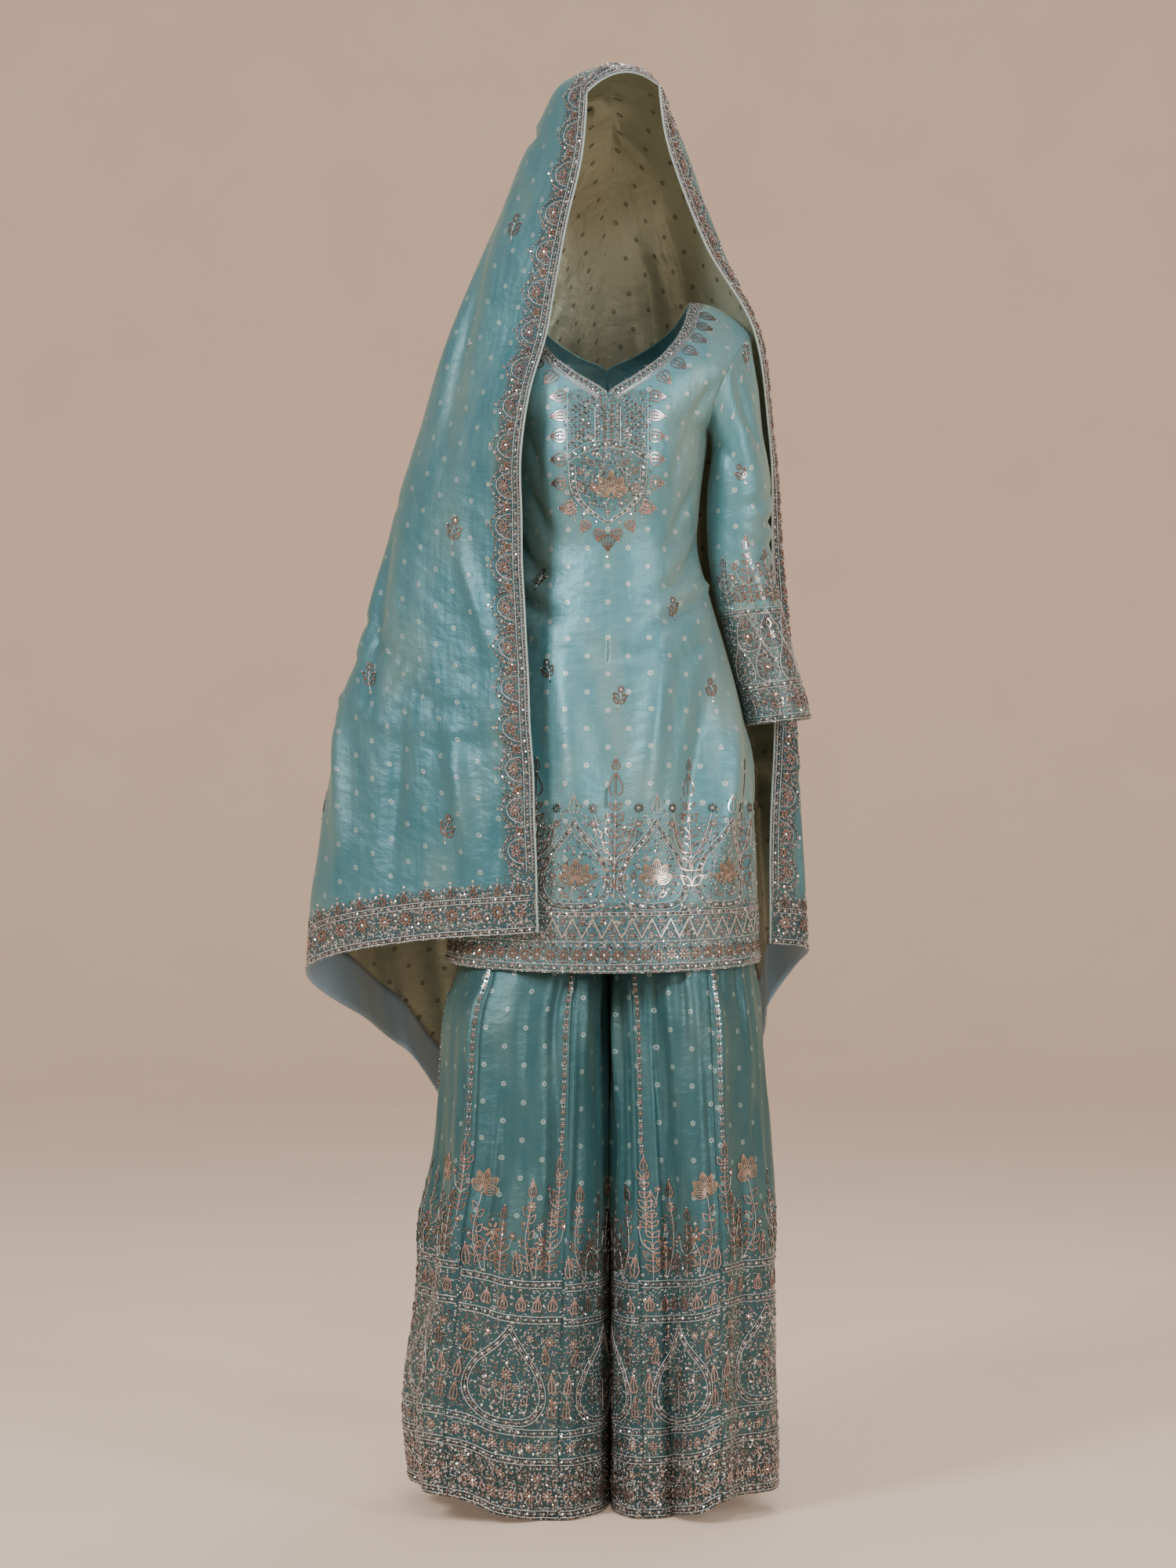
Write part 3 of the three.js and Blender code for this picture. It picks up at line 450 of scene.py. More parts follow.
def sheet_object(name, grids):
    """One mesh of quads from several grids, joined where they touch, with the UV map "cloth"."""
    places, faces, flats, count = [], [], [], 0
    masks = {"woven": [], "worked": []}
    for grid in grids:
        rows, cols = grid["a"].shape
        index = np.arange(rows * cols).reshape(rows, cols) + count
        quads = np.stack([index[:-1, :-1], index[1:, :-1], index[1:, 1:], index[:-1, 1:]], -1).reshape(-1, 4)
        corner = grid["place"].reshape(-1, 3)[quads - count]
        facing = np.cross(corner[:, 2] - corner[:, 0], corner[:, 3] - corner[:, 1])
        wanted = grid["out"].reshape(-1, 3)[quads[:, 0] - count]
        turned = (facing * wanted).sum(-1) < 0
        quads[turned] = quads[turned][:, ::-1]
        places.append(grid["place"].reshape(-1, 3))
        flats.append(np.stack([grid["a"], grid["b"]], -1).reshape(-1, 2))
        for label, parts in masks.items():
            parts.append(grid[label].reshape(-1))
        faces.append(quads)
        count += rows * cols
    mesh = bpy.data.meshes.new(name)
    mesh.from_pydata(np.concatenate(places).tolist(), [], np.concatenate(faces).tolist())
    loops = np.zeros(len(mesh.loops), int)
    mesh.loops.foreach_get("vertex_index", loops)
    layer = mesh.uv_layers.new(name="cloth")
    layer.data.foreach_set("uv", np.concatenate(flats)[loops].ravel())
    for label, parts in masks.items():
        mask = mesh.attributes.new(label, "FLOAT", "POINT")
        mask.data.foreach_set("value", np.concatenate(parts))
    shape = bmesh.new()
    shape.from_mesh(mesh)
    bmesh.ops.remove_doubles(shape, verts=shape.verts, dist=WELD)
    for face in shape.faces:
        face.smooth = True
    shape.to_mesh(mesh)
    shape.free()
    made = placed(name, mesh)
    print(name, "points", len(mesh.vertices), "faces", len(mesh.polygons))
    return made


# %% [markdown]
# The kurta is fitted at the waist and flares to its hem. Silk that is nipped in there drags into short
# slanting creases at the side seams, and long soft folds fall from the bust and hips to the hem.

# %% Kurta front and back
KURTA_CREASED, HEM_WORK, HEM_SPRAYS = 1.4, 0.078, 0.17
PLASTRON_HALF, PLASTRON_FOOT, PLASTRON_TOP, NECK_WORK = 0.046, 0.55, 0.716, 0.014
front_creases = [
    (0.10, 0.44, 24, 0.17, 0.009, -0.0034, 0.9), (0.12, 0.50, 38, 0.15, 0.008, -0.0030, 0.6),
    (0.11, 0.56, 52, 0.12, 0.008, -0.0026, 0.4), (-0.11, 0.45, 156, 0.16, 0.009, -0.0032, -0.8),
    (-0.12, 0.51, 143, 0.14, 0.008, -0.0028, -0.6), (-0.10, 0.57, 128, 0.12, 0.008, -0.0024, -0.4),
    (0.15, 0.47, 12, 0.10, 0.006, 0.0022, 1.0), (-0.15, 0.48, 170, 0.10, 0.006, 0.0022, -1.0),
    (0.055, 0.30, 84, 0.36, 0.020, 0.0042, 0.05), (-0.045, 0.27, 95, 0.34, 0.022, 0.0038, 0),
    (0.115, 0.24, 80, 0.34, 0.018, -0.0040, 0.05), (-0.13, 0.23, 99, 0.36, 0.018, -0.0038, 0),
    (0.165, 0.22, 78, 0.34, 0.020, 0.0046, 0), (-0.185, 0.20, 100, 0.32, 0.020, 0.0044, 0),
    (0.010, 0.16, 90, 0.30, 0.018, -0.0026, 0), (0.21, 0.16, 80, 0.26, 0.016, -0.0034, 0),
    (0.03, 0.385, 8, 0.13, 0.006, -0.0014, 1.2), (-0.04, 0.40, 172, 0.12, 0.006, -0.0013, -1.0),
    (0.10, 0.63, 64, 0.10, 0.007, -0.0018, 0), (-0.105, 0.64, 118, 0.10, 0.007, -0.0018, 0),
    (0.125, 0.71, 70, 0.09, 0.007, -0.0022, 0), (-0.125, 0.71, 110, 0.09, 0.007, -0.0022, 0),
    (0.09, 0.475, 8, 0.15, 0.004, -0.0018, 0.8), (0.11, 0.535, 20, 0.12, 0.004, -0.0016, 0.6),
    (-0.09, 0.49, 170, 0.13, 0.004, -0.0016, -0.8), (0.07, 0.42, -6, 0.13, 0.004, 0.0014, 0.6),
    (0.13, 0.40, 30, 0.12, 0.004, -0.0018, 0.4), (-0.13, 0.41, 152, 0.12, 0.004, -0.0018, -0.4)]
back_creases = [
    (0.06, 0.44, 14, 0.16, 0.010, -0.0036, 0.6), (-0.07, 0.47, 168, 0.17, 0.010, -0.0034, -0.6),
    (0.02, 0.50, 4, 0.14, 0.009, -0.0028, 0.4), (0.10, 0.52, 30, 0.14, 0.008, -0.0028, 0.4),
    (-0.11, 0.53, 150, 0.14, 0.008, -0.0026, -0.4), (0.07, 0.27, 86, 0.38, 0.022, 0.0044, 0),
    (-0.06, 0.25, 94, 0.36, 0.020, 0.0040, 0), (0.14, 0.22, 80, 0.34, 0.020, -0.0040, 0),
    (-0.14, 0.23, 99, 0.34, 0.019, -0.0042, 0), (0.0, 0.20, 90, 0.34, 0.018, -0.0030, 0),
    (0.20, 0.19, 80, 0.30, 0.020, 0.0042, 0), (-0.20, 0.18, 100, 0.30, 0.020, 0.0040, 0),
    (0.10, 0.68, 70, 0.14, 0.008, -0.0022, 0), (-0.10, 0.67, 110, 0.14, 0.008, -0.0022, 0)]


def kurta_grids(face, creases, seed):
    grids = []
    for side in (1, -1):
        grid = grid_on(kurta_half(face, side), steps((0, 1, 46)), steps((0, 1, 84), (1, 2, 34)),
                       side if face == "front" else -side)
        grids.append(grid)
    middle = unit(grids[0]["out"][0] + grids[1]["out"][0])
    for side, grid in zip((1, -1), grids):
        grid["out"][0] = middle
        neck = read(yokes[face], "neckX", np.maximum(grid["v"] - 1, 0), "row") * MM
        grid["a"] = side * (neck + arcs(grid["place"], 0))
        grid["b"] = np.broadcast_to(arcs(grid["place"], 1).mean(0), grid["a"].shape)
        edge = smooth((1 - grid["u"]) / 0.06) * smooth((2 - grid["v"]) / 0.06)
        relief = KURTA_CREASED * creases_at(creases, grid["a"], grid["b"])
        relief += unevenness(grid["a"], grid["b"], seed, 0.0016, 0.11)
        raised(grid, relief * edge)
        b = grid["b"]
        sprays = within(b, HEM_SPRAYS, 0.04) * smooth((b - HEM_WORK + 0.008) / 0.02)
        grid["worked"] = 0.8 * within(b, HEM_WORK) + 0.45 * sprays
        if face == "front":
            plastron = within(np.abs(grid["a"]), PLASTRON_HALF) * within(b, PLASTRON_TOP)
            plastron *= smooth((b - PLASTRON_FOOT) / 0.03)
            from_neck = within(arcs(grid["place"], 0), NECK_WORK) * (grid["v"] > 1.27)
            grid["worked"] = np.maximum(grid["worked"], np.maximum(0.65 * plastron, 0.9 * from_neck))
        grid["woven"] = grid["woven"] * smooth((b - 0.07) / 0.05)
    return grids


kurta_front_grids = kurta_grids("front", front_creases, 3)
kurta_back_grids = kurta_grids("back", back_creases, 5)
cloths["kurta_front"] = sheet_object("kurta_front_cloth", kurta_front_grids)
cloths["kurta_back"] = sheet_object("kurta_back_cloth", kurta_back_grids)

# %% [markdown]
# Sleeves are tubes that hang a little bent. They crease in short rings inside the elbow and drag in
# longer slants below the armhole. The seam is under the arm, where the tube's first column lies.

# %% Sleeves
ARM_COLUMNS, CUFF_WORK, CUFF_SPRAYS = 72, 0.14, 0.18
SLEEVE_CREASES = [
    (0.02, 0.20, 16, 0.12, 0.007, -0.0030, 2.0), (0.03, 0.225, 6, 0.13, 0.007, -0.0036, 2.2),
    (0.02, 0.25, -6, 0.12, 0.006, -0.0032, 2.0), (0.035, 0.275, -14, 0.11, 0.006, -0.0024, 1.6),
    (-0.06, 0.235, 176, 0.10, 0.007, -0.0022, 1.4), (-0.05, 0.18, 20, 0.10, 0.007, -0.0016, 1.0),
    (0.045, 0.37, 62, 0.14, 0.008, -0.0030, 0.6), (0.015, 0.40, 76, 0.12, 0.008, 0.0022, 0.4),
    (-0.03, 0.39, 104, 0.13, 0.008, -0.0024, 0), (0.075, 0.33, 50, 0.10, 0.007, -0.0022, 0.5),
    (0.06, 0.13, 84, 0.16, 0.012, -0.0020, 0), (-0.06, 0.12, 96, 0.16, 0.012, 0.0020, 0),
    (0.0, 0.31, 88, 0.14, 0.010, 0.0016, 0)]


def sleeve_grid(side, seed):
    grid = grid_on(sleeve_surface(side), steps((0, 1, ARM_COLUMNS)), steps((0, 0.3, 26), (0.3, 1, 56)), -side)
    around, along = arcs(grid["place"], 0), arcs(grid["place"], 1)
    grid["a"] = around - around[ARM_COLUMNS // 2]
    grid["b"] = np.broadcast_to((along[:, -1:] - along).mean(0), grid["a"].shape)
    edge = smooth(grid["v"] / 0.06) * smooth(grid["u"] / 0.05) * smooth((1 - grid["u"]) / 0.05)
    creases = [(-side * a, b, 180 - turn, *rest, -bow) if side > 0 else (a, b, turn, *rest, bow)
               for a, b, turn, *rest, bow in SLEEVE_CREASES]
    relief = creases_at(creases, grid["a"], grid["b"])
    relief += unevenness(grid["a"], grid["b"], seed, 0.0014, 0.08)
    grid["worked"] = 0.7 * within(grid["b"], CUFF_WORK) + 0.3 * within(grid["b"], CUFF_SPRAYS, 0.04)
    grid["woven"] = smooth((grid["b"] - 0.15) / 0.03)
    return raised(grid, relief * edge)


for side, name, seed in ((-1, "sleeve_left", 7), (1, "sleeve_right", 8)):
    cloths[name] = sheet_object(name + "_cloth", [sleeve_grid(side, seed)])

# %% [markdown]
# Trouser legs. Each kali hangs in its own soft up-and-down folds. Panels are pulled in a little along
# their seams. Between the legs both inner faces bow to one side by a few millimetres, as they do when
# two legs hang close, so that no light shows between them.

# %% Trouser panels and waistband
PANEL_COLUMNS, PANEL_ROWS, PANEL_FOLDS, GATHERS = 28, 84, 9, 34
SEAM_PULL, SEAM_WIDTH, PANEL_EDGE = 0.0011, 0.0035, 0.012
LEGS_APART, LEGS_BOW, BOW_DEPTH = 0.0005, 0.005, 0.06
BORDER_WORK, BED_WORK = 0.28, 0.07


def panel_creases(rng, width, length):
    """A few long folds down a panel; their places are uneven, as the hand-pressed silk shows."""
    rows = []
    for i in range(PANEL_FOLDS):
        at = (i + 0.5 + rng.uniform(-0.35, 0.35)) / PANEL_FOLDS * width - width / 2
        middle = rng.uniform(0.28, 0.64) * length
        depth = rng.choice([-1, 1]) * rng.uniform(0.0018, 0.0038)
        rows.append((at * (1 - 0.5 * middle / length), middle, 90 + at * 45, rng.uniform(0.18, 0.5),
                     rng.uniform(0.004, 0.009), depth, rng.uniform(-0.08, 0.08)))
    for _ in range(4):
        rows.append((rng.uniform(-0.4, 0.4) * width, rng.uniform(0.05, 0.4) * length, rng.uniform(60, 120),
                     rng.uniform(0.05, 0.14), rng.uniform(0.004, 0.008), -rng.uniform(0.0008, 0.0018), 0))
    return rows


def panel_grid(reach, number):
    side = -1 if reach == "left" else 1
    start, end = leg_seams[reach][number - 1:number + 1]
    grid = grid_on(leg_surface(reach), steps((start, end, PANEL_COLUMNS)), steps((0, 1, PANEL_ROWS)), side)
    around, along = arcs(grid["place"], 0), arcs(grid["place"], 1)
    grid["a"] = around - around[-1:] / 2
    grid["b"] = np.broadcast_to(along.mean(0), grid["a"].shape)
    from_seam = np.minimum(around, around[-1:] - around)
    rng = random.Random(20 * number + (reach == "left"))
    creases = panel_creases(rng, around[-1, 0], along[0, -1])
    relief = creases_at(creases, grid["a"], grid["b"])
    relief += unevenness(grid["a"], grid["b"], number, 0.0016, 0.10)
    relief *= smooth(from_seam / PANEL_EDGE) * (1 - 0.7 * smooth((grid["b"] - 0.60) / 0.08))
    grid["width"] = around[-1]
    grid["worked"] = 0.52 * within(grid["b"], BORDER_WORK, 0.06) + 0.4 * within(grid["b"], BED_WORK)
    grid["woven"] = smooth((grid["b"] - 0.29) / 0.05)
    raised(grid, relief - SEAM_PULL * np.exp(-(from_seam / SEAM_WIDTH) ** 2))
    x, y = np.maximum(side * grid["place"][..., 0], LEGS_APART), grid["place"][..., 1]
    bowed = LEGS_BOW * np.exp(-(y / BOW_DEPTH) ** 2) * (1 - smooth(x / 0.04))
    grid["place"][..., 0] = side * x + bowed
    return grid


leg_grids = {reach: [panel_grid(reach, n) for n in range(1, 7)] for reach in ("left", "right")}
for reach, grids in leg_grids.items():
    for number, grid in enumerate(grids, 1):
        node = f"leg_{reach}_kali_{number}"
        cloths[node] = sheet_object(node + "_cloth", [grid])


def waistband_surface(u, v):
    turn = u * 2 * np.pi
    sizes = {name: float(read(trouser_wall, name, WAIST)) for name in ("left", "front", "back")}
    deep = np.where(np.sin(turn) > 0, sizes["back"], sizes["front"])
    gathers = 0.9 * np.sin(turn * GATHERS) * np.sin(v * np.pi)
    return np.stack([(sizes["left"] + gathers) * np.cos(turn), (deep + gathers) * np.sin(turn),
                     WAIST + 0.3 + 36 * v], -1)


band = grid_on(waistband_surface, steps((0, 1, 240)), steps((0, 1, 8)), 1)
band["a"], band["b"] = arcs(band["place"], 0), arcs(band["place"], 1)
cloths["trouser_waistband"] = sheet_object("waistband_cloth", [band])

# %% [markdown]
# The veil cloth is one long sheet. Its length runs up one side, over the head and down the other, so
# the flat measure starts at each short end and at the front edge. The two halves meet behind the head.
# A third small piece of the same cloth closes the rim over the face.

# %% Veil cloth
RIGHT_HALF, OVER_FACE = 3.0, 6.0
RIM_COLUMNS, CAP_ROWS, EDGE_WORK, END_WORK = 30, 12, 0.036, 0.052
veil_creases = [
    (0.10, 1.28, 60, 0.20, 0.010, -0.0034, 0.5), (0.16, 1.20, 66, 0.24, 0.011, -0.0040, 0.3),
    (0.07, 1.12, 74, 0.22, 0.009, -0.0026, 0.3), (0.22, 1.10, 62, 0.22, 0.011, 0.0034, 0.2),
    (0.12, 0.98, 12, 0.16, 0.008, -0.0030, 1.4), (0.20, 0.93, -8, 0.15, 0.009, -0.0026, 1.2),
    (0.10, 0.90, 28, 0.12, 0.007, -0.0022, 0.8), (0.16, 1.02, 34, 0.14, 0.008, 0.0022, 0.5),
    (0.24, 0.80, 84, 0.40, 0.018, 0.0052, 0.05), (0.13, 0.72, 88, 0.42, 0.016, -0.0040, 0),
    (0.32, 0.66, 80, 0.42, 0.018, -0.0050, 0), (0.40, 0.58, 82, 0.40, 0.018, 0.0056, 0),
    (0.10, 0.62, 8, 0.14, 0.007, -0.0018, 1.0), (0.28, 0.56, 16, 0.18, 0.008, -0.0020, 0.6),
    (0.18, 0.50, -10, 0.16, 0.007, -0.0018, 0.8), (0.36, 0.47, 22, 0.14, 0.007, -0.0018, 0.5),
    (0.07, 0.40, 70, 0.22, 0.009, 0.0026, 0), (0.22, 0.36, 96, 0.30, 0.014, -0.0040, 0),
    (0.15, 0.27, 12, 0.19, 0.006, -0.0030, 0.8), (0.30, 0.28, -14, 0.18, 0.007, -0.0028, 0.6),
    (0.11, 0.215, -6, 0.20, 0.005, -0.0026, 0.6), (0.24, 0.235, 9, 0.20, 0.006, 0.0024, 0.4),
    (0.20, 0.315, 18, 0.17, 0.005, -0.0026, 0.5), (0.08, 0.305, -12, 0.12, 0.005, -0.0024, 0.5),
    (0.26, 0.34, -8, 0.15, 0.006, -0.0022, 0.8), (0.33, 0.22, 14, 0.14, 0.005, -0.0024, 0.3),
    (0.10, 0.16, 82, 0.26, 0.013, 0.0040, 0), (0.19, 0.15, 96, 0.26, 0.012, -0.0036, 0),
    (0.28, 0.16, 88, 0.28, 0.014, 0.0044, 0), (0.36, 0.17, 96, 0.28, 0.013, -0.0040, 0),
    (0.44, 0.20, 90, 0.30, 0.014, 0.0044, 0), (0.05, 0.10, 96, 0.16, 0.009, -0.0026, 0)]


def veil_half(name):
    """One half of the hanging cloth with its share of the cap, in flat measure from its front edge."""
    left = name == "left"
    us = steps((0, 0.365, 72), (0.365, LEFT_CORNER, 42), (LEFT_CORNER, MID_BACK, 38)) if left else \
        steps((MID_BACK, RIGHT_CORNER, 50), (RIGHT_CORNER, 0.78, 30), (0.78, 1, 34))
    hanging = grid_on(veil_hanging, us, steps((0, FACING_ROW, 84), (FACING_ROW, 1, 7)), 1)
    cap = grid_on(veil_cap, us, steps((0, 1, CAP_ROWS)), 1)
    cap["out"][:, 0] = (0, 0, 1)
    hanging["out"][:, 0] = cap["out"][:, -1] = unit(hanging["out"][:, 0] + cap["out"][:, -1])
    front = 0 if left else -1
    down = arcs(hanging["place"], 1)
    ends = hanging["place"][:, -1]
    slope = np.gradient(ends[:, 2]) / np.linalg.norm(np.gradient(ends[:, :2], axis=0), axis=1)
    to_hem = (down[:, -1:] - down) / np.sqrt(1 + slope[:, None] ** 2)
    hanging["b"] = down[front, -1] - down
    from_crown = arcs(cap["place"], 1)
    cap["b"] = down[front, -1] + from_crown[:, -1:] - from_crown
    for grid in (hanging, cap):
        level = grid["place"] * ([1, 1, 0] if grid is hanging else [1, 1, 1])
        around = arcs(level, 0)
        from_edge = around if left else around[-1:] - around
        grid["a"] = from_edge + (0 if left else RIGHT_HALF)
        behind = np.abs(grid["u"] - MID_BACK)
        relief = creases_at(veil_creases, from_edge, grid["b"])
        relief += unevenness(from_edge, grid["b"], 4 + left, 0.0022, 0.12)
        inner = smooth(behind / 0.03)
        grid["woven"] = smooth(behind / 0.012)
        grid["worked"] = 0.75 * within(from_edge, EDGE_WORK)
        if grid is hanging:
            short_end = (grid["u"] <= LEFT_CORNER) | (grid["u"] >= RIGHT_CORNER)
            at_hem = np.where(short_end, 0.9 * within(to_hem, END_WORK), 0.75 * within(to_hem, EDGE_WORK))
            grid["worked"] = np.maximum(grid["worked"], at_hem)
        if grid is cap:
            inner *= smooth((grid["v"] - 0.25) / 0.6)
            inner *= smooth(grid["u"] / 0.1) * smooth((1 - grid["u"]) / 0.1)
            grid["woven"] = grid["woven"] * smooth((grid["v"] - 0.6) / 0.2)
        raised(grid, relief * inner)
    return hanging, cap


left_hanging, left_cap = veil_half("left")
right_hanging, right_cap = veil_half("right")
face_cap = grid_on(veil_cap, steps((1, 2, RIM_COLUMNS)), steps((0, 1, CAP_ROWS)), 1)
face_cap["out"][:, 0] = (0, 0, 1)
inward = arcs(face_cap["place"], 1)
face_cap["a"] = OVER_FACE + inward[:, -1:] - inward
face_cap["b"] = arcs(face_cap["place"][::-1], 0)[::-1]
face_cap["woven"] = smooth((face_cap["v"] - 0.6) / 0.2)
face_cap["worked"] = 0.75 * within(face_cap["a"] - OVER_FACE, EDGE_WORK)
cloths["dupatta"] = sheet_object("veil_cloth", [left_hanging, left_cap, right_hanging, right_cap, face_cap])

# %% [markdown]
# Inside each short end lies a satin facing, as wide as a hand. It is the same grid as the veil's own
# last rows, moved inwards by the cloth's thickness, so the two never cross.

# %% Satin facings
FACING_INSET = 0.0015


def facing_grid(source, first, last):
    """The facing's rows of a veil half between two columns, moved inwards."""
    columns = (source["u"][:, 0] >= first - 1e-9) & (source["u"][:, 0] <= last + 1e-9)
    rows = source["v"][0] >= FACING_ROW - 1e-9
    part = {key: values[columns][:, rows] for key, values in source.items()}
    part["place"] = part["place"] - part["out"] * FACING_INSET
    part["out"] = -part["out"]
    return part


cloths["dupatta_facing_left"] = sheet_object(
    "facing_left_satin", [facing_grid(left_hanging, 0, LEFT_CORNER)])
cloths["dupatta_facing_right"] = sheet_object(
    "facing_right_satin", [facing_grid(right_hanging, RIGHT_CORNER, 1)])

# %% [markdown]
# Piping finishes the veil's front edge from corner to corner. It follows the edge of the finished
# sheet: up the left side, across the rim and down the right side.

# %% Piping
PIPING_RADIUS, PIPING_REACH, PIPING_SIDES = 0.0013, 0.00175, 8
UNLIKE_ANY_EDGE = (0.31, 0.17, 0.93)


def round_cord(name, centres, radius, sides):
    """A closed tube along a list of points."""
    centres = np.asarray(centres)
    ahead = unit(np.gradient(centres, axis=0))
    first = unit(np.cross(ahead, UNLIKE_ANY_EDGE))
    second = np.cross(ahead, first)
    turn = np.arange(sides) * 2 * np.pi / sides
    ring = first[:, None] * np.cos(turn)[:, None] + second[:, None] * np.sin(turn)[:, None]
    points = (centres[:, None] + ring * radius).reshape(-1, 3)
    faces = ring_faces(len(centres), sides)
    last = (len(centres) - 1) * sides
    faces += [tuple(range(sides))[::-1], tuple(range(last, last + sides))]
    mesh = bpy.data.meshes.new(name)
    mesh.from_pydata(points.tolist(), [], faces)
    mesh.polygons.foreach_set("use_smooth", [True] * len(mesh.polygons))
    return placed(name, mesh)


def front_edge():
    """The veil's front edge as points, with the direction that leads away from the cloth."""
    lines, away = [], []
    for grid, column, inner, order in ((left_hanging, 0, 1, -1), (right_hanging, -1, -2, 1)):
        edge, inside = grid["place"][column][::order], grid["place"][inner][::order]
        lines.append(edge)
        away.append(edge - inside)
    rim, inside = face_cap["place"][::-1, -1], face_cap["place"][::-1, -2]
    points = np.concatenate([lines[0], rim[1:-1], lines[1]])
    outward = np.concatenate([away[0], (rim - inside)[1:-1], away[1]])
    for _ in range(3):
        outward = unit(outward)
        outward[1:-1] = (outward[:-2] + 2 * outward[1:-1] + outward[2:]) / 4
    return points, unit(outward)


edge_points, edge_away = front_edge()
piping = round_cord("piping_cord", edge_points + edge_away * PIPING_REACH, PIPING_RADIUS, PIPING_SIDES)
edge_length = round(float(way_along(edge_points)[-1]), 3)
print("front edge of the veil:", edge_length, "m")

# %% [markdown]
# Embroidery is drawn flat, as on a worker's frame, and then laid on the hanging cloth. A motif is a
# short list of stitches and threads in millimetres. There are four kinds: round beads, cut beads that
# lie along a line, cupped sequins and couched metal thread. A tone from 0 to 1 picks the metal.

# %% Stitches and threads
BEAD, CUT, SEQUIN, THREAD = range(4)
SILVER, ROSE, COPPER, PEWTER, GOLD = 0.1, 0.32, 0.52, 0.72, 0.92
BEAD_SIZE, CUT_SIZE, SEQUIN_SIZE = 2.6, 3.4, 3.8
TONE_SPREAD, THREAD_STEP = 0.07, 5.0
hand = random.Random(11)


class Motif:
    """Stitches are rows of x, y, turn, size, kind and tone; threads are lists of points."""

    def __init__(self):
        self.stitches, self.threads = [], []

    def stitch(self, kind, x, y, turn=0.0, tone=SILVER, size=None):
        size = size or (BEAD_SIZE, CUT_SIZE, SEQUIN_SIZE)[kind]
        self.stitches.append((x, y, turn, size, kind, tone))
        return self

    def thread(self, line):
        self.threads.append(np.asarray(line, float))
        return self

    def along(self, line, pitch, *looks):
        """Stitches at even steps along a line. Looks are (kind, tone) or (kind, tone, size), in turn."""
        line = np.asarray(line, float)
        way = way_along(line)
        count = max(round(way[-1] / pitch), 1)
        at = (np.arange(count) + 0.5) * way[-1] / count
        x, y = (np.interp(at, way, line[:, i]) for i in (0, 1))
        dx, dy = (np.interp(at + 0.5, way, line[:, i]) - np.interp(at - 0.5, way, line[:, i]) for i in (0, 1))
        for i in range(count):
            kind, tone, *size = looks[i % len(looks)]
            self.stitch(kind, x[i], y[i], math.atan2(dy[i], dx[i]), tone, *size)
        return self

    def sequins(self, count, left, right, height, smallest=2.8, largest=4.2):
        """Loose sequins between left and right; height draws how far up each one lies."""
        for _ in range(count):
            self.stitch(SEQUIN, hand.uniform(left, right), height(), size=hand.uniform(smallest, largest))
        return self

    def add(self, motif, x=0.0, y=0.0, turn=0.0):
        """Another motif, turned by degrees and moved."""
        angle = math.radians(turn)
        c, s = math.cos(angle), math.sin(angle)
        for px, py, own, *look in motif.stitches:
            self.stitches.append((x + px * c - py * s, y + px * s + py * c, own + angle, *look))
        for px, py in (line.T for line in motif.threads):
            self.threads.append(np.stack([x + px * c - py * s, y + px * s + py * c], -1))
        return self


def drawn(*points, pieces=5):
    """A smooth line through a few points, as a pencil would draw it."""
    points = np.array(points, float)
    order = np.arange(len(points), dtype=float)
    at = np.linspace(0, len(points) - 1, (len(points) - 1) * pieces + 1)
    return np.stack([curve(order, points[:, i], at) for i in (0, 1)], -1)


# %% [markdown]
# The motifs are the common ones of such work: rosettes, buds, many-petalled lotuses, leafy sprays and
# pointed medallions. Each is a function of its own size, so borders can repeat it at any scale.

# %% Small motifs
def rosette(radius, petals=7, tone=ROSE):
    motif = Motif().stitch(SEQUIN if radius > 5 else BEAD, 0, 0)
    for turn in np.arange(petals) * 2 * math.pi / petals:
        reach = radius * 0.64
        motif.stitch(CUT, reach * math.cos(turn), reach * math.sin(turn), turn, tone, radius * 0.56)
    return motif


def bud(length, width, lines=3, tone=ROSE):
    """A pointed drop from its base at 0, 0, filled with lines of stitches."""
    motif = Motif()
    way = np.linspace(0.05, 0.97, 9)
    for side in np.linspace(-1, 1, lines):
        bulge = side * width / 2 * np.sin(np.pi * way ** 0.72) * (1.15 - 0.5 * way)
        motif.along(np.stack([bulge, length * way], -1), 3.0, (CUT, tone, 2.9), (CUT, tone + 0.08, 2.9))
    return motif.stitch(BEAD, 0, length * 1.02)


def lotus(width, tone=GOLD):
    """Five solid petals of fine cut beads over a small cup."""
    motif = Motif()
    for turn, length in ((-72, 0.5), (72, 0.5), (-36, 0.58), (36, 0.58), (0, 0.64)):
        petal = Motif()
        way = np.linspace(0.06, 0.94, 9)
        for side in (-1, -0.5, 0, 0.5, 1):
            bulge = side * width * 0.14 * np.sin(np.pi * way ** 0.85)
            petal.along(np.stack([bulge, width * length * way], -1), 2.5, (CUT, tone, 2.5))
        motif.add(petal, turn=-turn)
    motif.along(drawn((-width * 0.22, -1), (0, -width * 0.1), (width * 0.22, -1)), 2.6, (CUT, COPPER, 2.4))
    return motif


def leaf(length, tone=ROSE):
    motif = Motif()
    for side in (-1, 1):
        line = drawn((0, 0), (side * length * 0.24, length * 0.45), (0, length))
        motif.along(line, 2.9, (CUT, tone, 2.7))
    return motif


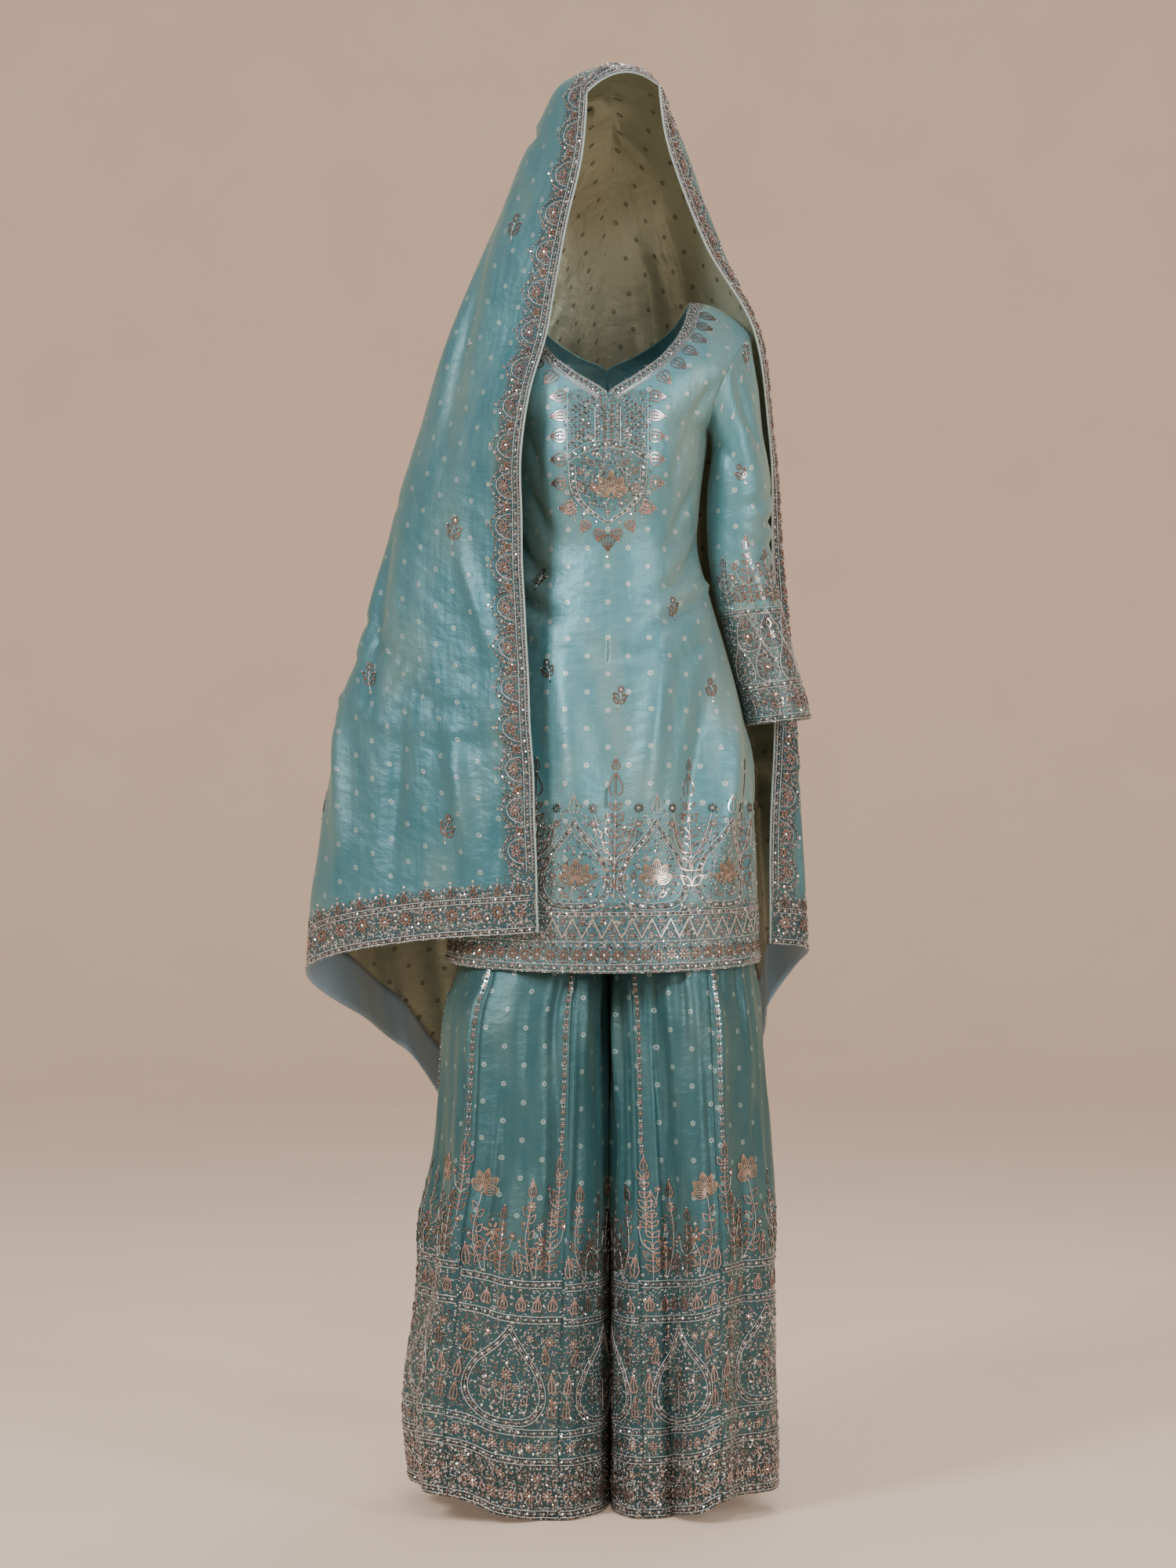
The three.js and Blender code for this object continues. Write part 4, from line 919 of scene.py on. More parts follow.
def sprig(height, tone=ROSE):
    """A little branch with a flower, two leaves and two buds, as scattered over the ground."""
    motif = Motif().thread(drawn((0, 0), (height * 0.06, height * 0.4), (0, height * 0.7)))
    motif.add(rosette(height * 0.2, 7, tone), 0, height * 0.84)
    for flip in (-1, 1):
        motif.add(leaf(height * 0.36, tone), 0, height * 0.2, -52 * flip)
        motif.add(bud(height * 0.3, height * 0.18, 2, COPPER), flip * height * 0.1, height * 0.46, -48 * flip)
    return motif.stitch(SEQUIN, 0, -1.5).stitch(BEAD, 0, height * 0.46, tone=PEWTER)


def spray(height, tone=ROSE, flowers=True):
    """A tall branch: a straight stem, paired leaves, side flowers on bowed stalks and a bud on top."""
    motif = Motif().thread([(0, 0), (0, height * 0.78)])
    motif.add(bud(height * 0.2, height * 0.12, 3, tone), 0, height * 0.8)
    for level, reach in ((0.08, 0.13), (0.2, 0.17), (0.34, 0.15), (0.47, 0.12), (0.6, 0.1), (0.7, 0.08)):
        for flip in (-1, 1):
            motif.add(leaf(height * reach, COPPER if level < 0.3 else tone), 0, height * level, -48 * flip)
    motif.along([(0, height * 0.56), (0, height * 0.8)], 3.6, (SEQUIN, SILVER, 2.9), (BEAD, ROSE))
    if flowers:
        for flip in (-1, 1):
            stalk = drawn((0, height * 0.3), (height * 0.13, height * 0.4), (height * 0.17, height * 0.54))
            motif.thread(stalk * [flip, 1])
            motif.add(rosette(5.2, 7, tone), flip * height * 0.18, height * 0.58)
    return motif


def curl(size, flip=1, tone=COPPER):
    """A scroll of beads that winds to a sequin."""
    turn = np.linspace(0, 1.5 * np.pi, 14)
    reach = size * (0.5 - 0.3 * turn / turn[-1])
    line = np.stack([flip * reach * np.cos(turn), reach * np.sin(turn)], -1)
    return Motif().along(line, 2.7, (BEAD, tone, 2.0)).stitch(SEQUIN, 0, 0)


def drop_outline(width, height):
    """A pointed drop, round below, with its lowest point at 0, 0."""
    half = drawn((0, 0), (0.3, 0.03), (0.47, 0.16), (0.5, 0.34), (0.4, 0.56), (0.2, 0.76), (0.07, 0.9),
                 (0, 1)) * [width, height]
    return np.concatenate([half, half[-2::-1] * [-1, 1]])


def medallion(width, height, filling):
    """A drop between two threads with a line of beads between them, and something inside."""
    outer = drop_outline(width, height)
    inner = drop_outline(width - 15, height - 19) + [0, 8]
    middle = drop_outline(width - 7.5, height - 10) + [0, 4]
    motif = Motif().thread(outer).thread(inner)
    motif.along(middle, 3.3, (BEAD, PEWTER, 3.6), (BEAD, ROSE, 3.3), (SEQUIN, SILVER), (BEAD, ROSE, 3.3))
    return motif.add(filling, 0, 8)


def banded(start, end, level, tall=8.0):
    """A straight band: two threads with beads between, from start to end at a height."""
    motif = Motif()
    for y in (level, level + tall):
        motif.thread([(start, y), (end, y)])
    middle = level + tall / 2
    return motif.along([(start, middle), (end, middle)], 3.7, (BEAD, PEWTER, 3.2), (SEQUIN, SILVER, 3.4),
                       (BEAD, ROSE, 3.0))


print("stitches in a lotus:", len(lotus(46).stitches), "in a spray:", len(spray(150).stitches))

# %% [markdown]
# A frame holds the work for one cloth. A chart says where a motif's millimetres lie on the flat cloth.
# The plain chart is the cloth's own measure. Another kind follows an edge, such as the neck or a slanted
# hem: it goes a true distance inwards, square to the edge, however the cloth is cut there.

# %% Charts and frames
def plain(x, y):
    return x * MM, y * MM


def beside_edge(grids):
    """A chart beside an edge, from (grid, columns, rows, inner step) for each stretch of the edge."""
    places, flats, inwards = [], [], []
    for grid, i, j, (step_i, step_j) in grids:
        place, flat = grid["place"], np.stack([grid["a"], grid["b"]], -1)
        i, j = np.broadcast_arrays(i, j)
        edge = place[i, j]
        ahead = np.gradient(edge, axis=0)
        inward = unit(np.cross(grid["out"][i, j], ahead))
        inside = place[i + step_i, j + step_j] - edge
        inward *= np.sign((inward * inside).sum(1, keepdims=True))
        across, along = (np.gradient(place, axis=axis)[i, j] for axis in (0, 1))
        flat_across, flat_along = (np.gradient(flat, axis=axis)[i, j] for axis in (0, 1))
        aa, bb, ab = (across ** 2).sum(1), (along ** 2).sum(1), (across * along).sum(1)
        ra, rb = (across * inward).sum(1), (along * inward).sum(1)
        share = aa * bb - ab ** 2
        one, two = (ra * bb - rb * ab) / share, (rb * aa - ra * ab) / share
        places.append(edge)
        flats.append(flat[i, j])
        inwards.append(one[:, None] * flat_across + two[:, None] * flat_along)
    edge, flat, inward = (np.concatenate(parts) for parts in (places, flats, inwards))
    for _ in range(4):
        inward[1:-1] = (inward[:-2] + 2 * inward[1:-1] + inward[2:]) / 4
    way = way_along(edge) / MM

    def chart(x, y):
        a, b = (np.interp(x, way, flat[:, k]) + y * MM * np.interp(x, way, inward[:, k]) for k in (0, 1))
        return a, b
    return chart, way[-1]


class Frame:
    """All the work on one cloth, in flat measure, ready for the tree that lays it on."""

    def __init__(self):
        self.flat, self.ahead, self.size, self.kind, self.tone, self.edges = [], [], [], [], [], []

    def hold(self, a, b, ahead_a, ahead_b, size, kind, tone):
        self.flat.append(np.stack([a, b, np.zeros_like(a)], -1))
        self.ahead.append(np.stack([ahead_a, ahead_b, np.zeros_like(a)], -1))
        for rows, values in ((self.size, size), (self.kind, kind), (self.tone, tone)):
            rows.append(np.broadcast_to(values, a.shape))

    def work(self, motif, chart=plain):
        if motif.stitches:
            x, y, turn, size, kind, tone = np.array(motif.stitches, float).T
            spread = np.array([hand.uniform(-TONE_SPREAD, TONE_SPREAD) for _ in x])
            self.hold(*chart(x, y), *chart(x + 0.6 * np.cos(turn), y + 0.6 * np.sin(turn)),
                      size * MM, kind, tone + spread)
        for line in motif.threads:
            way = way_along(line)
            at = np.linspace(0, way[-1], max(round(way[-1] / THREAD_STEP), 1) + 1)
            x, y = (np.interp(at, way, line[:, i]) for i in (0, 1))
            first = sum(len(part) for part in self.flat)
            a, b = chart(x, y)
            self.hold(a, b, a, b, 1.0, THREAD, SILVER)
            self.edges += [(first + k, first + k + 1) for k in range(len(at) - 1)]
        return self


frames = {node: Frame() for node in cloths}


def sprinkle(node, height, spots):
    """Sprigs over the ground of a cloth; spots are rows of x, y and turn."""
    for x, y, turn in spots:
        frames[node].work(Motif().add(sprig(height, COPPER), x, y, turn))


# %% [markdown]
# Kurta hem. From the edge up: a line of beads between threads, a row of rosettes, a zigzag of cut beads
# with small flowers in its angles, and pointed medallions with a lotus in each. Sprays stand between them.

# %% Work on the kurta's hem
LOTUS_STEM = 26


def lotus_filling(size):
    """A lotus on its stem with scrolls and small flowers under it."""
    motif = Motif().add(lotus(size), 2, LOTUS_STEM)
    motif.thread(drawn((2, LOTUS_STEM - 4), (-3, 13), (0, 5)))
    for flip in (-1, 1):
        motif.add(curl(13, flip), flip * 17, 16)
        motif.add(leaf(11), flip * 6, 8, -62 * flip)
        motif.add(rosette(4.6, 6, COPPER), flip * size * 0.56, 33)
        motif.stitch(SEQUIN, flip * 10, 27).stitch(BEAD, flip * 24, 22).stitch(BEAD, flip * 21, 42, tone=ROSE)
    return motif.stitch(SEQUIN, 0, LOTUS_STEM + size * 0.78).stitch(BEAD, 7, LOTUS_STEM + size * 0.66)


def kurta_hem(reach, shift):
    """The border from -reach to reach; shift moves the medallions along it."""
    pitch, motif = 98.0, Motif().add(banded(-reach, reach, 2.5, 8))
    for x in np.arange(-reach + 8, reach - 5, 16.5):
        motif.add(rosette(7.4, 8, COPPER), x, 22).stitch(SEQUIN, x + 8.2, 17)
        motif.stitch(SEQUIN, x + 8.2, 29, tone=PEWTER).stitch(SEQUIN, x, 33)
    for y in (37.5, 68, 72):
        motif.thread([(-reach, y), (reach, y)])
    corners = [(-reach + 12 * i, 42 if i % 2 else 64) for i in range(int(reach / 6) + 1)]
    motif.along(corners, 2.9, (CUT, SILVER, 3.6))
    motif.along([(-reach, 70), (reach, 70)], 3.4, (BEAD, PEWTER), (SEQUIN, SILVER), (BEAD, ROSE))
    for x, y in corners[1:-1]:
        motif.add(rosette(4.4, 6, ROSE), x, 61 if y < 50 else 45)
    for i in range(-3, 4):
        x = shift + pitch * (i + 0.5)
        if abs(x) < reach - 36:
            motif.add(medallion(90, 112, lotus_filling(46)), x, 74)
            motif.add(bud(24, 12, 3, SILVER), x, 188)
        stem = shift + pitch * i
        if abs(stem) < reach - 8:
            motif.add(spray(150, ROSE), stem, 90).add(bud(15, 9, 3, ROSE), stem, 242)
            for flip in (-1, 1):
                motif.add(rosette(6.2, 8, PEWTER), stem + flip * 27, 196)
                motif.thread(drawn((stem, 130), (stem + flip * 16, 158), (stem + flip * 26, 189)))
                motif.add(leaf(13), stem + flip * 17, 160, -28 * flip)
                motif.stitch(SEQUIN, stem + flip * 12, 172).stitch(SEQUIN, stem + flip * 9, 146)
                motif.add(curl(11, flip), stem + flip * 8, 96)
    return motif.sequins(int(reach * 1.3), -reach, reach, lambda: hand.triangular(14, 200, 90))


for face, grids, shift in (("front", kurta_front_grids, 10.0), ("back", kurta_back_grids, 0.0)):
    half = min(np.abs(grid["a"][-1, :12]).min() for grid in grids) / MM - 3
    frames["kurta_" + face].work(kurta_hem(half, shift))
    print("kurta", face, "hem border:", round(2 * half), "mm")

# %% [markdown]
# Neck. An edging of beads runs round it, with drops standing out from it over the shoulders. Down the
# front the edging becomes a plastron: a beaded placket, slanting rows on both sides, and an arch over a
# pointed shield with a lotus. Drops line its sides and point.

# %% Work on the neck
NECK_FROM = 1.275


def neck_chart(grid):
    """The chart beside one side of the neck, from its lowest point up to the shoulder."""
    first = int(np.argmax(grid["v"][0] > NECK_FROM))
    rows = np.arange(first, grid["v"].shape[1])
    return beside_edge([(grid, 0, rows, (1, 0))]) + (float(grid["b"][0, first]) / MM,)


def neck_edging(length, drops_from):
    motif = Motif()
    for y in (2.5, 11, 15):
        motif.thread([(0, y), (length, y)])
    motif.along([(1, 5), (length, 5)], 3.4, (BEAD, SILVER), (BEAD, PEWTER))
    motif.along([(1, 8.6), (length, 8.6)], 3.6, (BEAD, ROSE), (SEQUIN, SILVER, 2.8))
    motif.along([(1, 13), (length, 13)], 3.6, (CUT, SILVER, 2.8))
    for x in np.arange(drops_from, length - 4, 23.0):
        motif.add(bud(22, 15, 4, ROSE), x, 16)
        motif.stitch(SEQUIN, x, 25, size=4.6).stitch(BEAD, x, 18, tone=PEWTER)
    return motif


def plastron(top):
    """Everything below the point of the neck; top is the height of that point, y falls from it."""
    side, placket, arch, foot = 49.0, 15.5, top - 84, top - 178
    motif = Motif()
    for flip in (-1, 1):
        motif.thread([(flip * side, top - 8), (flip * side, arch - 8)])
        motif.along([(flip * (side - 3), top - 10), (flip * (side - 3), arch - 2)], 3.7, (BEAD, SILVER, 2.0))
        motif.thread([(flip * placket, top - 24), (flip * placket, arch + 12)])
        motif.along([(flip * (placket - 4), top - 20), (flip * (placket - 4), arch + 12)], 3.6,
                    (SEQUIN, SILVER, 3.0), (BEAD, ROSE, 2.6))
        for y in np.arange(top - 72, top - 12, 7.6):
            line = drawn((flip * (placket + 4), y + 6), (flip * 30, y + 2), (flip * (side - 6), y - 6))
            motif.along(line, 3.1, (BEAD, SILVER, 2.1), (CUT, PEWTER, 2.4))
        for i in range(6):
            y = top - 6 - i * 28.5
            x = side if i < 5 else side - 10
            motif.add(bud(22, 16, 4, ROSE), flip * (x + 1), y, -90 * flip - (8 if i == 5 else 0) * flip)
            motif.stitch(SEQUIN, flip * (x + 10), y, size=4.6)
            motif.stitch(BEAD, flip * (x + 3), y + 13, tone=PEWTER).stitch(BEAD, flip * (x + 3), y - 13)
        for x, y, turn in ((40, foot + 30, 126), (24, foot + 12, 150), (9, foot + 2, 168)):
            motif.add(bud(17, 14, 5, ROSE), flip * x, y, -turn * flip)
            motif.stitch(SEQUIN, flip * (x + 5), y + 7)
        motif.add(curl(15, flip), flip * 30, arch - 44).add(curl(12, flip), flip * 17, foot + 32)
        motif.add(rosette(6.4, 8, COPPER), flip * 17, foot + 52)
        motif.add(rosette(5, 7, ROSE), flip * 33, arch - 22).add(leaf(13), flip * 30, foot + 46, -24 * flip)
        motif.add(leaf(12), flip * 15, arch - 14, -70 * flip)
        edge = drawn((flip * (side - 1), arch - 10), (flip * 45, arch - 44), (flip * 30, foot + 28),
                     (0, foot + 6))
        motif.thread(edge).thread(edge * [0.83, 0.9] + [0, (foot + 40) * 0.1])
        motif.along(edge * [0.91, 0.95] + [0, (foot + 40) * 0.05], 4.0, (BEAD, PEWTER, 2.5), (SEQUIN, SILVER))
    for y in np.arange(arch + 12, top - 20, 4.4):
        motif.stitch(CUT, -4.4, y, 0.6, COPPER).stitch(CUT, 4.4, y, -0.6, COPPER).stitch(BEAD, 0, y + 1)
    for rise, looks in ((0, None), (5, "beads"), (10, None)):
        line = drawn((-48, -12), (-26, 1), (0, 6), (26, 1), (48, -12)) + [0, arch + rise]
        if looks:
            motif.along(line, 4.4, (BEAD, SILVER, 3.2), (BEAD, PEWTER, 3.0), (SEQUIN, SILVER, 3.6))
        else:
            motif.thread(line)
    motif.add(lotus(45), 4, arch - 50).thread(drawn((4, arch - 54), (-2, foot + 34), (0, foot + 14)))
    motif.add(rosette(4.6, 6, ROSE), 0, foot + 22).add(bud(23, 17, 5, COPPER), 0, foot - 4, 180)
    motif.sequins(70, -44, 44, lambda: hand.uniform(foot + 24, top - 30), 2.6, 4)
    return motif.stitch(SEQUIN, 0, foot - 34, size=4.4)


for face, grids in (("front", kurta_front_grids), ("back", kurta_back_grids)):
    for grid in grids:
        chart, length, neck_point = neck_chart(grid)
        frames["kurta_" + face].work(neck_edging(length, 62.0 if face == "front" else 14.0), chart)
    print("neck of the", face, "starts", round(neck_point), "mm above its hem")
    if face == "front":
        frames["kurta_front"].work(plastron(neck_point))
sprinkle("kurta_front", 27, [(92, 432, 20), (12, 318, -10), (-96, 470, -20), (-70, 352, 14), (146, 330, 8)])
sprinkle("kurta_back", 27, [(60, 430, 10), (-80, 480, -10), (-20, 330, 8), (110, 330, -14), (0, 560, 0)])

# %% [markdown]
# Cuffs. A bead edging, a row of sprigs, a lattice of small drops, and sprays of uneven height above it.
# The lattice closes round the arm, so its cell is the cuff's girth divided by a whole number.

# %% Work on the sleeves
NARROWEST_HALF, CUFF_PART = 0.11, 0.2


def cuff_border(girth):
    start, end, cells = -girth / 2 + 1, girth / 2 - 1, 7
    motif = Motif().add(banded(start, end, 2, 7)).add(banded(start, end, 44, 7))
    motif.add(banded(start, end, 138, 7))
    cell = (end - start) / cells
    for i in range(cells):
        x = start + (i + 0.5) * cell
        motif.add(sprig(26, ROSE), x, 13).add(rosette(4.6, 7, COPPER), x + cell / 2, 27)
        for row, y in enumerate((52, 92)):
            shift = x + (cell / 2 if row else 0)
            if shift < end - 4:
                motif.thread(drop_outline(cell - 3, 52) + [shift, y])
                inner = drop_outline(cell - 10, 42) + [shift, y + 4]
                motif.along(inner, 3.6, (BEAD, PEWTER, 2.2), (BEAD, ROSE))
                motif.add(rosette(6.2, 8, COPPER), shift, y + 18).add(leaf(12), shift, y + 27)
        height = (64, 88, 72, 54)[i % 4]
        motif.add(spray(height, ROSE, height > 60), x, 147).add(sprig(24, COPPER), x + cell / 2, 150)
        motif.stitch(SEQUIN, x + cell / 3, 184).stitch(SEQUIN, x - cell / 4, 176)
    return motif.sequins(90, start, end, lambda: hand.triangular(8, 190, 90), largest=4)


for name in ("sleeve_left", "sleeve_right"):
    corners = [corner.vector for corner in cloths[name].data.uv_layers["cloth"].uv]
    girth = 2 * min(abs(x) for x, y in corners if abs(x) > NARROWEST_HALF and y < CUFF_PART)
    frames[name].work(cuff_border(girth / MM))
    sprinkle(name, 24, [(-62, 300, 16), (48, 352, -10), (-30, 408, 8), (30, 262, -6)])
    print(name, "girth", round(girth, 3))

# %% [markdown]
# Trouser borders. They are drawn for one kali at a time, so nothing is cut by a seam. The widest band
# holds a large pointed drop or two on a bed of short bead rows, and stays clear inside the drops. The
# sprays above it stand in narrower cells. The kali widens to its hem, so the chart stretches each row to
# the width it has there. A chain of flowers runs up along each seam, and ends at the kurta.

# %% Beds for the trouser borders
CELL, DROP_CELL = 88.0, 138.0
CHAIN_TOP, CHAIN_FOOT, CHAIN_STEP = 800, 432, 15.0
HEM_BED, DROP_BAND, BAND_LEVELS = (13, 63), (110, 232), (3, 66, 100, 234, 276)
BED_STEP, DROP_HEIGHT, WIDEST_DROP = 13.5, 122, 108


def panel_chart(grid):
    """x is across the panel at its hem's width, y up from the hem; both in millimetres."""
    heights, widths = grid["b"][0] / MM, grid["width"] / MM

    def chart(x, y):
        return x * MM * np.interp(y, heights, widths) / widths[0], y * MM
    return chart, widths[0]


def flower_filling(tone):
    """Inside a trouser medallion: a flower on a stem, leaves, and a bed of small beads below."""
    motif = Motif().thread([(0, 6), (0, 44)]).add(rosette(7.4, 8, COPPER), 0, 53)
    motif.stitch(SEQUIN, 0, 66).stitch(BEAD, 0, 72)
    for flip in (-1, 1):
        motif.add(rosette(5, 7, tone), flip * 13, 40).add(leaf(13), flip * 2, 24, -50 * flip)
        motif.add(leaf(11, COPPER), flip * 2, 34, -28 * flip).add(curl(11, flip), flip * 12, 19)
        motif.stitch(SEQUIN, flip * 19, 30).stitch(SEQUIN, flip * 7, 8)
    for i in range(5):
        motif.stitch(BEAD, -10 + 5 * i, 10 + 3 * (i % 2), tone=PEWTER)
    return motif


def dense_bed(start, end, foot, top):
    """A close bed of flowers, sequins and beads in uneven rows."""
    motif = Motif()
    for i, x in enumerate(np.arange(start + 11, end - 6, 24.5)):
        motif.add(rosette(7.6, 8, (ROSE, COPPER)[i % 2]), x, foot + 15)
        motif.add(rosette(6, 7, (COPPER, PEWTER)[i % 2]), x + 12, top - 12)
        motif.add(leaf(12), x + 12, foot + 8, 0)
        motif.add(curl(10, (-1) ** i), x, top - 21)
    for y in np.arange(foot + 3, top, 6.4):
        for x in np.arange(start + 3, end - 2, 7.6):
            kind = hand.choice((BEAD, BEAD, CUT, SEQUIN))
            tone = hand.choice((SILVER, ROSE, COPPER, PEWTER, SILVER))
            motif.stitch(kind, x + hand.uniform(-2.4, 2.4), y + hand.uniform(-1.8, 1.8),
                         hand.uniform(0, 6.3), tone)
    return motif


def bead_bed(start, end, foot, top, drops, drop_width):
    """Short curved rows of beads that fill the ground between the drops, which stay clear inside."""
    motif = Motif()
    for y in np.arange(foot + 6, top, BED_STEP):
        for x in np.arange(start + 6, end - 4, BED_STEP):
            bend, tone = hand.uniform(-60, 60), hand.choice((ROSE, COPPER, PEWTER))
            row = drawn((-5, 0), (0, 2.6), (5, 0), pieces=3)
            belly = drop_width * 0.5 * (1 - 0.9 * max((y - foot) / (top - foot) - 0.4, 0))
            if min(abs(x - middle) for middle in drops) > belly - 2:
                motif.add(Motif().along(row, 2.7, (BEAD, tone)), x + hand.uniform(-3, 3),
                          y + hand.uniform(-3, 3), bend)
    return motif


# %% [markdown]
# The border of one kali, from the hem up: a close bed, a row of rosettes, the drops, a row of buds, and
# the sprays, with a lotus on a bowed stem in every other cell. Banded lines part the rows, and loose
# sequins fall over all of it.

# %% Work on the trouser panels
def trouser_border(width, number, seam_chain):
    start, end = -width / 2 + 2, width / 2 - 2
    cells = max(round(width / CELL), 1)
    cell = (end - start) / cells
    count = max(round(width / DROP_CELL), 1)
    room = (end - start) / count
    drops, drop_width = start + (np.arange(count) + 0.5) * room, min(room - 22, WIDEST_DROP)
    motif = Motif().add(dense_bed(start, end, *HEM_BED))
    motif.add(bead_bed(start, end, *DROP_BAND, drops, drop_width))
    for level in BAND_LEVELS:
        motif.add(banded(start, end, level))
    for i in range(3 * cells):
        x = start + (i + 0.5) * cell / 3
        motif.add(rosette(6.6, 8, (COPPER, ROSE)[i % 2]), x, 87).add(bud(19, 13, 4, ROSE), x, 247)
        motif.stitch(SEQUIN, x + cell / 6, 80).stitch(BEAD, x + cell / 6, 93, tone=PEWTER)
        motif.stitch(SEQUIN, x + cell / 6, 255, size=3.0).add(leaf(9), x + cell / 6, 83)
    for i, x in enumerate(drops):
        filling = flower_filling((ROSE, SILVER)[i % 2])
        motif.add(medallion(drop_width, DROP_HEIGHT, filling), x, DROP_BAND[0])
        for flip in (-1, 1):
            side = x + flip * (room / 2 - 7)
            motif.add(bud(26, 9, 3, COPPER), side, 120).add(bud(24, 9, 3, ROSE), side, 150, 5 * flip)
            motif.add(bud(24, 9, 3, COPPER), side - flip * 8, 184, 12 * flip)
            motif.add(rosette(5.4, 7, ROSE), x + flip * 28, 216).stitch(SEQUIN, side, 178)
            motif.add(rosette(6.4, 8, COPPER), side - flip * 6, 212).stitch(BEAD, side, 146, tone=PEWTER)
            motif.add(leaf(15), x + flip * 22, 136, -30 * flip).add(curl(14, flip), x + flip * 26, 162)
    for i in range(cells):
        x = start + (i + 0.5) * cell
        odd = (i + number) % 2
        motif.add(spray((104, 84)[odd], (ROSE, COPPER)[odd]), x - cell * 0.24, 287)
        motif.add(sprig((46, 58)[odd], COPPER), x + cell * 0.06, 290, 8)
        motif.add(curl(17, -1), x - cell * 0.02, 352).add(curl(14), x + cell * 0.42, 330)
        motif.add(bud(28, 11, 3, ROSE), x + cell * 0.42, 290, -6)
        if odd:
            motif.add(lotus(46), x + cell * 0.24, 386, 14)
        else:
            motif.add(rosette(7.5, 8, ROSE), x + cell * 0.24, 372)
            motif.add(bud(22, 12, 4, COPPER), x + cell * 0.24, 382)
        motif.thread(drawn((x + cell * 0.1, 287), (x + cell * 0.32, 326), (x + cell * 0.24, 384)))
        for y, turn in ((296, 44), (304, -40), (314, 50), (322, -44),
                        (333, 40), (342, -36), (352, 44), (360, -40)):
            motif.add(leaf(15, (ROSE, COPPER)[y % 4 // 2]), x + cell * 0.27, y, turn)
        for y, turn in ((300, 30), (312, -34), (326, 32)):
            motif.add(leaf(14, COPPER), x - cell * 0.02, y, turn)
        motif.stitch(SEQUIN, x + cell * 0.36, 352).stitch(SEQUIN, x + cell * 0.12, 340).stitch(SEQUIN, x, 318)
    motif.sequins(int(width * 0.75), start, end, lambda: hand.triangular(12, 330, 60), largest=4.4)
    if seam_chain:
        motif.add(chain(), start + 7, 0)
    return motif


def chain():
    """Small flowers, bars and beads up a seam, over a branched foot."""
    motif = Motif().add(spray(92, ROSE), 2, 340)
    for flip in (-1, 1):
        motif.add(leaf(12), flip * 3, 404, -30 * flip)
    for i, y in enumerate(np.arange(CHAIN_FOOT + 6, CHAIN_TOP, CHAIN_STEP)):
        motif.add(rosette(4.4, 6, (ROSE, COPPER)[i % 2]), 0, y)
        motif.stitch(CUT, -1.6, y + 6.6, 1.9, SILVER, 3).stitch(CUT, 1.6, y + 6.6, 1.24, SILVER, 3)
        motif.stitch(BEAD, 0, y + 9.6, tone=PEWTER)
    return motif


for reach, grids in leg_grids.items():
    for number, grid in enumerate(grids, 1):
        chart, width = panel_chart(grid)
        node = f"leg_{reach}_kali_{number}"
        frames[node].work(trouser_border(width, number, number > 1), chart)
        print(node, "hem", round(width), "mm")

# %% [markdown]
# Veil. A light border follows both long edges: beads between threads, then scallops with a flower in
# each and copper bars between them. The two short ends carry a deeper and brighter border.

# %% Work on the veil
SHORT_END = 70.0


def half_round(x, foot, reach, rise, points):
    """Half an ellipse that stands on the line at its foot."""
    return [(x + reach * math.cos(t), foot + rise * math.sin(t)) for t in np.linspace(0, math.pi, points)]


def long_border(start, end):
    pitch = (end - start) / max(round((end - start) / 48), 1)
    motif = Motif()
    for y in (3, 11.5):
        motif.thread([(start, y), (end, y)])
    motif.along([(start, 7.2), (end, 7.2)], 4.2,
                (BEAD, PEWTER, 3.4), (SEQUIN, SILVER, 3.4), (BEAD, ROSE, 3.2))
    motif.along([(start, 1), (end, 1)], 4.0, (BEAD, ROSE), (BEAD, COPPER))
    for x in np.arange(start + pitch / 2, end, pitch):
        motif.along(half_round(x, 14, pitch * 0.42, 31, 15), 2.8,
                    (BEAD, ROSE, 3.0), (BEAD, COPPER, 2.8), (SEQUIN, SILVER, 3.6), (BEAD, PEWTER, 3.0))
        motif.thread(half_round(x, 14, pitch * 0.31, 23, 13)).add(rosette(8, 9, ROSE), x, 25)
        motif.stitch(SEQUIN, x, 50, size=4.2)
        motif.add(leaf(9), x - 8, 14, 30).add(leaf(9), x + 8, 14, -30)
        for bar in (-3, 0, 3):
            motif.stitch(CUT, x + pitch / 2 + bar, 17, math.pi / 2, COPPER, 4)
            motif.stitch(CUT, x + pitch / 2 + bar * 0.8, 22.5, math.pi / 2, COPPER, 4)
        motif.stitch(BEAD, x + pitch / 2, 28, tone=SILVER)
    return motif


def short_border(length):
    motif = Motif().add(banded(3, length - 3, 1.5, 6)).add(banded(3, length - 3, 40, 6))
    pitch = (length - 8) / round((length - 8) / 31)
    for i, x in enumerate(np.arange(4 + pitch / 2, length - 4, pitch)):
        motif.add(rosette(9, 9, (ROSE, COPPER)[i % 2]), x, 28).add(curl(9), x + pitch / 2, 21)
        motif.add(curl(9, -1), x + pitch / 2, 35).stitch(SEQUIN, x + pitch / 2, 28)
        motif.stitch(SEQUIN, x - 8, 18, size=3.8).stitch(SEQUIN, x + 8, 38, size=3.8).stitch(SEQUIN, x, 15)
        motif.along(half_round(x, 47, pitch * 0.44, 15, 10), 3.0,
                    (BEAD, ROSE), (SEQUIN, SILVER, 3.4), (BEAD, COPPER))
        motif.add(bud(13, 9, 3, COPPER), x, 47).stitch(SEQUIN, x, 67, size=4).stitch(BEAD, x + pitch / 2, 50)
    return motif


